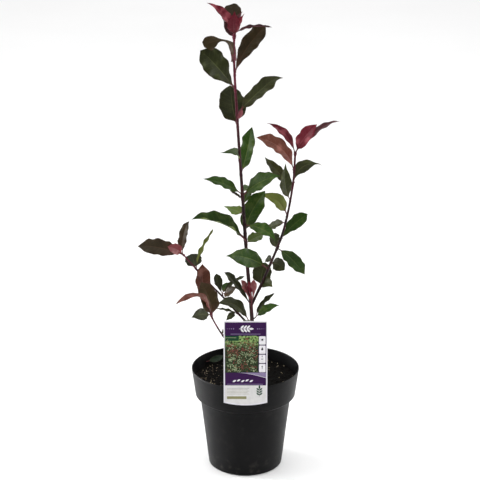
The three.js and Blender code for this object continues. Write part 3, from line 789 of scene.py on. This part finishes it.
def grow():
    """All stems and leaves by the source's rule: a list of stems and a list of leaves, each leaf
    with its root, its row, its phase and the CAD node that it belongs to."""
    draw = seeded(SEED)
    stems, leaves = [], []
    lines = {}
    for name, limb in (LIMBS | SHOOTS).items():
        path = np.array(limb["path"], float)
        if name in SHOOTS:
            path += lines[limb["limb"]].at(limb["at"])
        line = limb_line(path)
        lines[name] = line
        buds = [row[:2] for row in limb["leaves"]] if name in LIMBS else []
        stems.append((name, line, taper(limb, line.length), buds))
        single = 0
        for row in limb["leaves"]:
            node = limb.get("top", name)
            if row[0] <= limb.get("split", 0):
                single += 1
                node = f"{limb['leaf']}_{single}"
            root = Vector(line.at(min(row[0], line.length)))
            leaves.append((root, row, 2 * math.pi * next(draw), node))
    return stems, leaves


def leaf_vein_pattern(paint):
    """How far up its blade and off the midrib a point lies, and how strongly the side veins, the
    net between them and the midrib show there."""
    along, across = paint.place()
    off = paint.math("ABSOLUTE", paint.math("MULTIPLY_ADD", across, 2.0, -1.0))
    curve = paint.math("POWER", off, 1.25)
    phase = paint.math("MULTIPLY_ADD", curve, -VEIN_SLANT, paint.math("MULTIPLY", along, float(VEINS)))
    swing = paint.math("ABSOLUTE", paint.math("SUBTRACT", paint.math("FRACT", phase), 0.5))
    fade = paint.spread(off, 0.75, 1.0, 1.0, 0.0)
    vein = paint.math("MULTIPLY", paint.spread(swing, 0.44, 0.5), fade)
    net = paint.spread(paint.cells(700.0, feature="DISTANCE_TO_EDGE"), 0.0, 0.09, 1.0, 0.0)
    width = paint.spread(along, 0.0, 1.0, 0.07, 0.02)
    midrib = paint.math("SUBTRACT", 1.0, paint.spread(paint.math("DIVIDE", off, width), 0.5, 1.0))
    return along, off, vein, net, midrib


def leaf_material(tint, upper):
    """One side of a blade: veins, a warm foot, mottling, painted highlight patches, and a tone of its own
    for each leaf.
    """
    body, foot, under, vein_colour = TINTS[tint]
    if upper:
        paint = Paint(f"leaf_{tint}_upper", 0.12)
        first, main, reach, dark = foot, body, 0.42, 0.62
        vein_share, rib_colour, vein_relief, net_relief, rough = 0.12, vein_colour, -0.8, -0.25, 0.3
    else:
        paint = Paint(f"leaf_{tint}_under", 0.06)
        first, main, reach, dark = vein_colour, under, 0.3, 0.72
        vein_share, rib_colour, vein_relief, net_relief, rough = 0.3, STALK_COLOUR, 0.9, 0.3, 0.52
    along, off, vein, net, midrib = leaf_vein_pattern(paint)
    mottle = paint.noise(38.0, 4.0)
    base = paint.over(first, main, along, 0.0, reach)
    base = paint.over(base, colour(main, dark), mottle, 0.42, 0.72, 0.75)
    base = paint.over(base, first, paint.noise(14.0, 2.0), 0.5, 0.75, 0.35)
    # Painted highlights: brighter patches towards the vein colour, on the red leaves partly their own pink
    # blotching
    base = paint.over(base, vein_colour, paint.noise(46.0, 2.0), 0.5, 0.7, PAINTED_SHEEN_AND_BLOTCH.get(tint, 0.14))
    base = paint.mix(paint.math("MULTIPLY", net, 0.12), base, vein_colour)
    base = paint.mix(paint.math("MULTIPLY", vein, vein_share), base, vein_colour)
    base = paint.mix(paint.math("MULTIPLY", midrib, 0.24), base, rib_colour)
    base = paint.over(base, STALK_COLOUR, off, 0.93, 1.0, 0.45)
    base = paint.over(base, STALK_COLOUR, along, 0.0, 0.07, 0.0, 0.8)
    shade = paint.spread(paint.tone(), 0.0, 1.0, 0.78, 1.25)
    lit = paint.node("CombineXYZ", {0: shade, 1: shade, 2: shade}).outputs[0]
    base = paint.mix(1.0, base, lit, "MULTIPLY")
    relief = paint.math("MULTIPLY_ADD", vein, vein_relief, mottle)
    relief = paint.math("MULTIPLY_ADD", net, net_relief, relief)
    return paint.finish(base, paint.spread(mottle, 0.3, 0.7, rough, rough + 0.14), relief, 0.00025, 0.5)


def stalk_material():
    paint = Paint("leaf_stalk", 0.4)
    streak = paint.noise(220.0, 3.0, (1, 1, 0.3))
    base = paint.over(STALK_COLOUR, "#4c2a24", streak, 0.35, 0.7)
    base = paint.over(base, "#8d4a50", paint.noise(900.0), 0.55, 0.7, 0.4)
    return paint.finish(base, paint.spread(streak, 0.3, 0.7, 0.4, 0.55), streak)


def bark_material():
    """Young bark: brown and grey at the foot, dark maroon above, wine red at the growing tips."""
    paint = Paint("bark", 0.18)
    tone = paint.tone()
    streak = paint.noise(160.0, 4.0, (1, 1, 0.12))
    flake = paint.noise(420.0, 3.0, (1, 1, 0.5))
    low = paint.over("#2e1d1a", "#54483a", streak, 0.35, 0.68)
    middle = paint.over("#1d0c11", "#38151b", streak, 0.4, 0.7)
    young = paint.over("#480c1c", "#6c1c36", streak, 0.4, 0.7)
    base = paint.over(low, middle, tone, 0.0, 0.35)
    base = paint.over(base, young, tone, 0.55, 0.95)
    pore = paint.spread(paint.cells(330.0, (1, 1, 0.45)), 0.1, 0.2, 1.0, 0.0)
    base = paint.mix(paint.math("MULTIPLY", pore, 0.45), base, "#8b7466")
    base = paint.over(base, "#6f665c", flake, 0.6, 0.75, 0.35)
    relief = paint.math("ADD", paint.math("ADD", streak, flake), paint.math("MULTIPLY", pore, 0.7))
    return paint.finish(base, paint.spread(flake, 0.35, 0.7, 0.42, 0.7), relief, 0.0004)


def add_leaves(name, tint, chosen, stalk, nodes):
    """The leaves of one tint as one piece, from a root, a row, a phase and a fate for each."""
    pile = Pile()
    for number, leaf in enumerate(chosen):
        add_leaf(pile, *leaf, cell(number, len(chosen)))
    materials = [leaf_material(tint, True), leaf_material(tint, False), stalk]
    add_piece(name, pile, materials, nodes, sharp=60)


def add_stems(stems):
    pile = Pile()
    count = len(stems) + sum(len(buds) for *_, buds in stems)
    squares = (cell(number, count) for number in range(count))
    for name, line, radius_at, buds in stems:
        foot = 0.0
        if name == "main_stem":
            foot = float(np.interp(SOIL_TOP - 3, line.points[:, 2], line.along))
        tones = BARK_TONES.get(name, (0.35, 0.85))
        add_stem(pile, line, radius_at, foot, buds, tones, next(squares))
    for _, line, radius_at, buds in stems:
        for place, heading in buds:
            place = min(place, line.length - 1)
            tone = 0.4 + 0.6 * place / line.length
            add_bud(pile, line, place, heading, float(radius_at(place)), tone, next(squares))
    wooded = [*LIMBS, *(limb["top"] for limb in LIMBS.values()), *SHOOTS]
    add_piece("stems", pile, [bark_material()], wooded)


def build_plant():
    stems, leaves = grow()
    add_stems(stems)
    draw = seeded(SEED + 1)
    stalk = stalk_material()
    for tint, slot in LEAF_SLOTS.items():
        chosen = [leaf for leaf in leaves if leaf[1][10] == tint]
        nodes = sorted({node for *_, node in chosen})
        chosen = [(root, row, phase, next(draw)) for root, row, phase, _ in chosen]
        add_leaves(f"leaves_{tint}", tint, chosen, stalk, nodes)
    fallen = [(Vector(FALLEN_ROOT), FALLEN_LEAF, 1.0, 0.5)]
    add_leaves("fallen_leaf", "fallen", fallen, stalk, ["potting_mix"])


def turned(pile, profile, sides, relief=None, middle=(0, 0, 0)):
    """A profile of (radius, height) pairs turned about Z, its ends closed with flat caps."""
    angle = np.linspace(0, 2 * np.pi, sides, endpoint=False)
    radius, height = np.array(profile, float).T[..., None]
    points = np.stack([radius * np.cos(angle), radius * np.sin(angle), height + 0 * angle], axis=-1)
    if relief:
        for point in points.reshape(-1, 3):
            point[2] += relief(*point)
    pile.grid(points + middle, 0)


def collar_inside(height):
    """Radius of the collar's inner face at a height."""
    slope = (RIM_RADIUS - COLLAR_FOOT_RADIUS) / COLLAR_HEIGHT
    return COLLAR_FOOT_RADIUS + slope * (height - STEP_TOP) - WALL


def pot_side(inset):
    """The pot's outer side from its rounded foot to under its rim, moved inwards by inset."""
    step_foot = STEP_TOP - STEP_HEIGHT
    stretches = (
        (BODY_FOOT_RADIUS, BODY_TOP_RADIUS, FOOT_ROUND, step_foot, 14, float),
        (BODY_TOP_RADIUS, COLLAR_FOOT_RADIUS, step_foot, STEP_TOP, 13, lambda s: smooth(0, 1, s)),
        (COLLAR_FOOT_RADIUS, RIM_RADIUS, STEP_TOP, POT_HEIGHT - WALL, 6, float),
    )
    side = [(BODY_FOOT_RADIUS - inset, FOOT_ROUND)]
    for low, high, foot, top, steps, bend in stretches:
        for share in np.linspace(0, 1, steps)[1:]:
            side.append((low + (high - low) * bend(share) - inset, foot + (top - foot) * share))
    return side


def build_pot():
    flat = BODY_FOOT_RADIUS - FOOT_ROUND
    foot = [(CAP_RADIUS, 0), *arc(flat, FOOT_ROUND, FOOT_ROUND, -90, 0, 6)[:-1]]
    lip = arc(RIM_RADIUS - WALL / 2, POT_HEIGHT - WALL / 2, WALL / 2, 0, 180, 9)[1:-1]
    inside = pot_side(WALL)[::-1]
    inside[-1] = (BODY_FOOT_RADIUS - WALL, FLOOR + FOOT_ROUND)
    pan = [(flat - WALL, FLOOR), (CAP_RADIUS, FLOOR)]
    pile = Pile()
    turned(pile, [*foot, *pot_side(0), *lip, *inside, *pan], POT_SIDES)
    pot = add_piece("nursery_pot", pile, [pot_material()], ["pot"], sharp=50)
    drill_drain_holes(pot)


def drill_drain_holes(pot):
    """Cuts the ring of drain holes through the pot's floor."""
    holes = Pile()
    for x, y in arc(0, 0, DRAIN_CIRCLE_RADIUS, 30, 330, DRAIN_HOLES):
        bar = [(DRAIN_HOLE_RADIUS, -FLOOR), (DRAIN_HOLE_RADIUS, 2 * FLOOR)]
        turned(holes, bar, DRAIN_HOLE_SIDES, middle=(x, y, 0))
    cutter = add_object("drain_holes", holes.mesh("drain_holes"))
    cut = pot.modifiers.new("drain holes", "BOOLEAN")
    cut.object = cutter
    cut.operation = "DIFFERENCE"
    cut.solver = "EXACT"
    graph = bpy.context.evaluated_depsgraph_get()
    drilled = bpy.data.meshes.new_from_object(pot.evaluated_get(graph))
    pot.modifiers.remove(cut)
    pot.data = drilled
    bpy.data.objects.remove(cutter)


def pot_material():
    """Satin black plastic with fine grain, drag marks, and pale dust at the foot."""
    paint = Paint("black_plastic", 0.1)
    cloud = paint.noise(18.0, 5.0)
    grain = paint.noise(1500.0, 2.0)
    drag = paint.noise(60.0, 4.0, (1, 1, 9))
    base = paint.over("#060607", "#0d0d0e", cloud, 0.35, 0.7)
    low = paint.spread(paint.height(), 0.0, 0.05, 0.5, 0.08)
    dust = paint.math("MULTIPLY", low, paint.spread(paint.noise(70.0, 6.0), 0.5, 0.8))
    base = paint.mix(dust, base, "#4b4641")
    base = paint.over(base, "#3b3b3e", drag, 0.66, 0.8, 0.2)
    relief = paint.math("MULTIPLY_ADD", drag, 1.5, grain)
    return paint.finish(base, paint.spread(cloud, 0.3, 0.7, 0.4, 0.52), relief, 0.00008, 0.5)


def soil_height(x, y):
    """Height of the potting mix: crowned, lumpy, and a little lower at the wall."""
    reach = math.hypot(x, y) / collar_inside(SOIL_TOP)
    lumps = noise.noise((x * 0.045, y * 0.045, 1.7)) + 0.6 * noise.noise((x * 0.14, y * 0.14, 5.1))
    grit = 0.35 * noise.noise((x * 0.5, y * 0.5, 9.3))
    return SOIL_TOP - SOIL_EDGE_DROP * reach**3 + SOIL_RELIEF * (lumps + grit) - 0.8


def build_potting_mix():
    edge = collar_inside(SOIL_TOP - SOIL_EDGE_DROP) - SOIL_GAP
    top = [(edge * share, SOIL_TOP) for share in np.linspace(1, 0.01, SOIL_RINGS)]
    side = [(r, h) for r, h in pot_side(WALL + SOIL_GAP) if h < SOIL_TOP - SOIL_SHOULDER]
    side[0] = (side[0][0], FLOOR + FOOT_ROUND)
    low = FLOOR + SOIL_GAP
    base = [(CAP_RADIUS, low), (BODY_FOOT_RADIUS - WALL - SOIL_GAP - FOOT_ROUND, low)]
    pile = Pile()

    def relief(x, y, z):
        return soil_height(x, y) - SOIL_TOP if z >= SOIL_TOP - 0.01 else 0.0

    turned(pile, [*base, *side, *top], SOIL_SIDES, relief)
    add_piece("potting_mix_body", pile, [soil_material()], ["potting_mix"])
    scatter_crumbs(edge)


def soil_material():
    paint = Paint("potting_soil", 0.06)
    fibre = paint.noise(260.0, 6.0)
    base = paint.over("#040403", "#0d0b09", fibre, 0.35, 0.65)
    base = paint.over(base, "#16120f", paint.noise(60.0, 4.0), 0.55, 0.75, 0.4)
    crumb = paint.cells(480.0)
    base = paint.over(base, "#362d25", crumb, 0.05, 0.2, 0.0, 0.3)
    relief = paint.math("ADD", fibre, paint.math("MULTIPLY", crumb, 0.8))
    return paint.finish(base, paint.spread(fibre, 0.3, 0.7, 0.75, 0.95), relief, 0.002, 0.9)


def crumb_material(name, dark, pale):
    paint = Paint(name, 0.08)
    grain = paint.noise(420.0, 4.0, (1, 0.4, 1))
    base = paint.over(dark, pale, grain, 0.35, 0.65)
    base = paint.over(base, dark, paint.tone(), 0.0, 1.0, 0.5)
    return paint.finish(base, paint.spread(grain, 0.3, 0.7, 0.7, 0.9), grain, 0.0006)


def add_crumb(pile, centre, size, flatness, turn, draw, slot):
    """A rough closed chip with rings of uneven radius, longer than wide and wider than thick."""
    points = np.zeros((CRUMB_RINGS, CRUMB_SIDES, 3))
    for i, share in enumerate(np.linspace(0.08, 0.92, CRUMB_RINGS)):
        for j, (x, z) in enumerate(arc(0, 0, 1, 0, 360, CRUMB_SIDES + 1)[:-1]):
            radius = math.sin(math.pi * share) ** 0.5 * (0.7 + 0.5 * next(draw))
            place = Vector((x * radius * 0.6, (share - 0.5) * 2.4, z * radius * flatness))
            points[i, j] = centre + size / 2 * (turn @ place)
    pile.grid(points[:, ::-1], slot, next(draw))


def scatter_crumbs(edge):
    """Bark chips and crumbs on the potting mix, with pale ones and beads of feed at its left."""
    draw = seeded(SEED + 2)
    pile = Pile()
    stem = limb_line(LIMBS["main_stem"]["path"]).at(4)
    smallest, largest = CRUMB_SIZE
    for number in range(CRUMBS + BEADS):
        reach = (edge - 3) * math.sqrt(next(draw))
        bearing = 2 * math.pi * next(draw)
        x, y = reach * math.cos(bearing), reach * math.sin(bearing)
        size = smallest + (largest - smallest) * next(draw) ** 2.5
        spin = Quaternion((0, 0, 1), 2 * math.pi * next(draw))
        turn = spin @ Quaternion((1, 0, 0), 0.7 * (next(draw) - 0.5))
        kind = next(draw)
        if math.dist((x, y), stem[:2]) < STEM_CLEARANCE:
            continue
        if number >= CRUMBS:
            centre = Vector((x, y, soil_height(x, y) + 0.6))
            add_crumb(pile, centre, BEAD_SIZE, 0.6, turn, draw, BEAD)
            continue
        pale_share = 0.015 + 0.4 * smooth(-42, -62, x)
        slot = PALE if kind < pale_share else BROWN if kind > 0.7 else DARK
        if slot == PALE:
            size = min(size, LARGEST_PALE_CRUMB)
        centre = Vector((x, y, soil_height(x, y) + size * 0.12))
        add_crumb(pile, centre, size, 0.3 + 0.2 * next(draw), turn, draw, slot)
    materials = [crumb_material(name, *tints) for name, tints in CRUMB_TINTS.items()]
    add_piece("bark_crumbs", pile, materials, ["potting_mix"], sharp=30)


def rounded(left, right, low, high, corner):
    """The outline of a box with rounded corners of five points each, anticlockwise."""
    points = arc(right - corner, low + corner, corner, -90, 0, 5)
    points += arc(right - corner, high - corner, corner, 0, 90, 5)
    points += arc(left + corner, high - corner, corner, 90, 180, 5)
    return points + arc(left + corner, low + corner, corner, 180, 270, 5)


def disc(x, z, radius, sides=20):
    return arc(x, z, radius, 0, 360, sides + 1)[:-1]


def set_at(x, z, bearing, points):
    """Points turned to a bearing in degrees and moved to (x, z)."""
    cos, sin = math.cos(math.radians(bearing)), math.sin(math.radians(bearing))
    return [(x + a * cos - b * sin, z + a * sin + b * cos) for a, b in points]


def leaf_sign(x, z, length, width, bearing, steps=5):
    """The outline of a small leaf from its foot at (x, z), pointing along a bearing in degrees."""
    shares = np.linspace(0, 1, steps + 2)
    near = [(length * s, -width / 2 * math.sin(math.pi * s)) for s in shares]
    return set_at(x, z, bearing, near + [(a, -b) for a, b in near[-2:0:-1]])


def bowed_edge(half, low):
    """Points from left to right along an edge that bows down in the middle."""
    shares = np.linspace(0, 1, 25)
    return [(-half + 2 * half * s, low - 4 * s * (1 - s) * TAG_BOW) for s in shares]


def lay(pile, layer, edge, slot):
    """A flat shape printed on the tag, each layer a step nearer to the viewer."""
    back = TAG_BACK + TAG_THICKNESS - PRINT_STEP / 2
    pile.plate(edge, back, back + PRINT_STEP * (0.5 + layer), slot)


def lay_box(pile, layer, left, right, low, high, corner, slot):
    lay(pile, layer, rounded(left, right, low, high, corner), slot)


def lay_sprig(pile, layer, x, z, size, slot, bearing=90, pairs=3):
    """A small stem with pairs of leaves and one at its tip."""
    for i in range(pairs):
        foot = set_at(x, z, bearing, [(size * (0.12 + 0.26 * i), 0)])[0]
        for lean in (-48, 48):
            lay(pile, layer, leaf_sign(*foot, size * 0.42, size * 0.17, bearing + lean), slot)
    tip = set_at(x, z, bearing, [(size * 0.78, 0)])[0]
    lay(pile, layer, leaf_sign(*tip, size * 0.46, size * 0.19, bearing), slot)
    wide, thin, reach = size * 0.018, size * 0.012, size * 0.85
    stem = [(0, -wide), (reach, -thin), (reach, thin), (0, wide)]
    lay(pile, layer, set_at(x, z, bearing, stem), slot)


def build_tag():
    pile = Pile()
    half, edge = TAG_WIDTH / 2, PRINT_EDGE
    card = bowed_edge(half, TAG_FOOT) + rounded(-half, half, TAG_FOOT, TAG_TOP, TAG_CORNER)[5:15]
    pile.plate(card, TAG_BACK, TAG_BACK + TAG_THICKNESS - PRINT_STEP / 2, CARD)
    lay_box(pile, 0, -edge, edge, HEADER_FOOT, TAG_TOP - TAG_BORDER, 0.8, PURPLE)
    lay_box(pile, 0, -edge, edge, PICTURE_FOOT, HEADER_FOOT, 0.3, LAWN)
    lay_box(pile, 0, -edge, edge, BAND_FOOT, PICTURE_FOOT, 0.3, PURPLE)
    footer = bowed_edge(edge, TAG_FOOT + TAG_BORDER)
    lay(pile, 0, [*footer, (edge, BAND_FOOT), (-edge, BAND_FOOT)], GREY)
    print_header(pile)
    print_hedge(pile)
    print_icons(pile)
    print_band(pile)
    print_footer(pile)
    add_clip(pile)
    materials = [print_material(name, tint) for name, tint in PRINT_TINTS.items()]
    materials.insert(LAWN, lawn_material())
    add_piece("picture_tag", pile, materials, ["plant_tag"], sharp=30)


def print_header(pile):
    """A white sprig between two rows of dots, over a thin rule."""
    middle = HEADER_FOOT + 15
    lay_sprig(pile, 1, -13, middle, 24, WHITE, 0)
    for side in (-1, 1):
        for i in range(4):
            lay(pile, 1, disc(side * (24 + 4.2 * i), middle, 1.25 - 0.2 * i), LILAC)
    lay_box(pile, 1, -30, 30, HEADER_FOOT + 3.2, HEADER_FOOT + 4.2, 0.4, LILAC)


def print_hedge(pile):
    """A hedge of small leaves, green below and redder above, on a lawn with a dark strip behind."""
    draw = seeded(SEED + 3)
    left, right, low, high = 1 - PRINT_EDGE, ICONS_LEFT - 1.5, PICTURE_FOOT, HEADER_FOOT
    lay_box(pile, 1, left, left + 27, high - 11, high, 0.3, DEEP_GREEN)
    lay_box(pile, 1.5, left, left + 22, high - 4.6, high - 3.8, 0.3, PALE_LEAF)
    for i in range(HEDGE_LEAVES):
        x = left + 2 + (right - left - 4) * next(draw)
        share = next(draw)
        crown = 0.84 + 0.09 * math.sin(x * 0.13 + 1) + 0.05 * math.sin(x * 0.45)
        z = low + 1 + (high - low - 4) * crown * share
        length = 1.8 + 2.2 * next(draw)
        bearing = 90 + 200 * (next(draw) - 0.5)
        kind = next(draw) + 0.8 * noise.noise((x * 0.11, z * 0.11, 4.2))
        slot = GREEN_LEAF
        if kind < 0.05 + 0.4 * share:
            slot = RED_LEAF
        elif kind > 0.75:
            slot = PALE_LEAF
        lay(pile, 2 + 0.5 * (i % 4), leaf_sign(x, z, length, 0.4 * length, bearing, 2), slot)


def print_icons(pile):
    """Four white tiles in a column: a mark for height, a leaf, a drop and a sun, from the foot up."""
    left, right = ICONS_LEFT, PRINT_EDGE - 1
    lay_box(pile, 1, left - 0.5, right + 1, PICTURE_FOOT, HEADER_FOOT, 0.3, PURPLE)
    tall = (HEADER_FOOT - PICTURE_FOOT) / 4
    x = (left + right) / 2
    for i in range(4):
        low, high = PICTURE_FOOT + tall * i + 1, PICTURE_FOOT + tall * (i + 1) - 1
        lay_box(pile, 2, left + 0.6, right - 0.2, low, high, 1.8, WHITE)
        z = (low + high) / 2 + 1.5
        if i == 3:
            lay(pile, 3, disc(x, z, 2.1), INK)
            for ray, foot in enumerate(disc(x, z, 2.8, 8)):
                lay(pile, 3, leaf_sign(*foot, 1.8, 0.7, 45 * ray, 1), INK)
        elif i == 2:
            lay(pile, 3, disc(x, z - 0.8, 2.2), INK)
            lay(pile, 3, [(x - 2.1, z - 0.2), (x + 2.1, z - 0.2), (x, z + 4.2)], INK)
        elif i == 1:
            lay_sprig(pile, 3, x, z - 4, 8, INK, 90, 1)
        else:
            lay_box(pile, 3, x - 0.5, x + 0.5, z - 3.5, z + 1.5, 0.2, INK)
            lay(pile, 3, [(x - 2, z + 1.2), (x + 2, z + 1.2), (x, z + 4)], INK)
        for rule in range(2):
            foot, half = low + 1.5 + 1.4 * rule, 4 - rule
            lay_box(pile, 3, x - half, x + half, foot, foot + 0.5, 0.2, GREY)


def print_band(pile):
    """A lilac wave with a white edge in the purple band, over a row of white leaves and a rule."""
    low, high = BAND_FOOT, PICTURE_FOOT
    shares = np.linspace(0, 1, 20)
    wave = [(PRINT_EDGE * (1 - 1.4 * s), high - 11 * (1 - s) ** 1.6) for s in shares]
    lay(pile, 1, [(PRINT_EDGE, high), *wave[::-1]], LILAC)
    below = [(x, z - 0.9 * (1 - s)) for (x, z), s in zip(wave, shares)]
    lay(pile, 2, wave[::-1] + below[:-1], WHITE)
    for i in range(5):
        lay(pile, 2, leaf_sign(-26 + 8.5 * i, low + 7.5 + 1.5 * (i % 2), 8.5, 3.6, 30), WHITE)
    lay_box(pile, 2, 4 - PRINT_EDGE, PRINT_EDGE - 6, low + 2.2, low + 3.2, 0.4, LILAC)


def print_footer(pile):
    """A green sprig at the right, rules at the left and an olive bar under them."""
    left = 4 - PRINT_EDGE
    lay_sprig(pile, 1, 28, BAND_FOOT - 24, 20, DEEP_GREEN)
    for i in range(5):
        z = BAND_FOOT - 6 - 3.2 * i
        lay_box(pile, 1, left, 8 - 4 * (i % 2), z - 0.5, z, 0.2, INK if i == 0 else OLIVE)
    lay_box(pile, 1, left, 2, BAND_FOOT - 30, BAND_FOOT - 24, 0.6, OLIVE)


def add_clip(pile):
    """The strap that goes from the back of the card over the rim and down inside the pot."""
    half = TAG_CLIP_WIDTH / 2
    flat = math.sqrt(collar_inside(POT_HEIGHT) ** 2 - half**2) - GAP
    slope = collar_inside(POT_HEIGHT) - collar_inside(TAG_CLIP_FOOT)
    over = POT_HEIGHT + GAP
    side = [
        (TAG_BACK, over),
        (TAG_BACK, over + TAG_THICKNESS),
        (flat - TAG_THICKNESS, over + TAG_THICKNESS),
        (flat - TAG_THICKNESS - slope, TAG_CLIP_FOOT),
        (flat - slope, TAG_CLIP_FOOT),
        (flat, over),
    ]
    pile.grid(np.array([[[x, -reach, z] for reach, z in side] for x in (half, -half)], float), CARD)


def print_material(name, tint):
    """Gloss print with faint dots of ink and small unevenness."""
    paint = Paint(name, 0.12)
    cloud = paint.noise(90.0, 3.0)
    dots = paint.noise(2600.0, 1.0)
    deep = colour(tint, 0.82)
    base = paint.over(tint, deep, cloud, 0.35, 0.75, 0.6)
    base = paint.over(base, deep, dots, 0.55, 0.8, 0.3)
    return paint.finish(base, paint.spread(cloud, 0.3, 0.7, 0.28, 0.4), dots, 0.00003, 0.4)


def lawn_material():
    """The picture's ground: bright green above, deep green below, mottled."""
    paint = Paint("print_lawn", 0.12)
    cloud = paint.noise(240.0, 5.0)
    base = paint.over("#2e3a24", "#93b46a", paint.height(), 0.3, 0.32)
    base = paint.over(base, "#161f14", cloud, 0.4, 0.65)
    return paint.finish(base, paint.spread(cloud, 0.3, 0.7, 0.28, 0.4), cloud, 0.00003, 0.4)


def add_light(name, place, target, size, power, spread):
    """A soft rectangular light that faces a point."""
    lamp = bpy.data.lights.new(name, "AREA")
    lamp.shape = "RECTANGLE"
    lamp.size, lamp.size_y = size
    lamp.energy = power
    lamp.spread = math.radians(spread)
    holder = add_object(name, lamp)
    holder.location = place
    holder.rotation_euler = (Vector(target) - Vector(place)).to_track_quat("-Z", "Y").to_euler()


def build_floor():
    mesh = bpy.data.meshes.new("floor")
    corners = [(x * FLOOR_REACH, y * FLOOR_REACH, 0) for x, y in ((-1, -1), (1, -1), (1, 1), (-1, 1))]
    mesh.from_pydata(corners, [], [(0, 1, 2, 3)])
    floor = add_object("floor", mesh)
    paint = Paint("floor", 0.1)
    shade = paint.over((0.92, 0.92, 0.92, 1), (0.94, 0.94, 0.94, 1), paint.noise(1.5), 0.3, 0.7)
    mesh.materials.append(paint.finish(shade, 0.9))


def build_studio():
    """A plain pale floor, soft light from all round with a brighter side, and the camera."""
    build_floor()
    world = bpy.data.worlds.new("studio")
    bpy.context.scene.world = world
    world.use_nodes = True
    sky = world.node_tree.nodes["Background"]
    sky.inputs["Color"].default_value = (1, 1, 1, 1)
    sky.inputs["Strength"].default_value = SKY_STRENGTH
    for name, values in LIGHTS.items():
        add_light(name, *values)

    camera = bpy.data.cameras.new("camera")
    camera.sensor_width = SENSOR_WIDTH
    camera.lens = SENSOR_WIDTH / 2 / math.tan(math.radians(CAMERA_ANGLE / 2))
    camera.clip_end = 100
    holder = add_object("camera", camera)
    holder.location = CAMERA_PLACE
    holder.rotation_euler = (math.radians(90 - CAMERA_PITCH), 0, 0)
    bpy.context.scene.camera = holder
    bpy.context.scene.view_settings.view_transform = "Standard"


build_pot()
build_potting_mix()
build_tag()
build_plant()
build_studio()
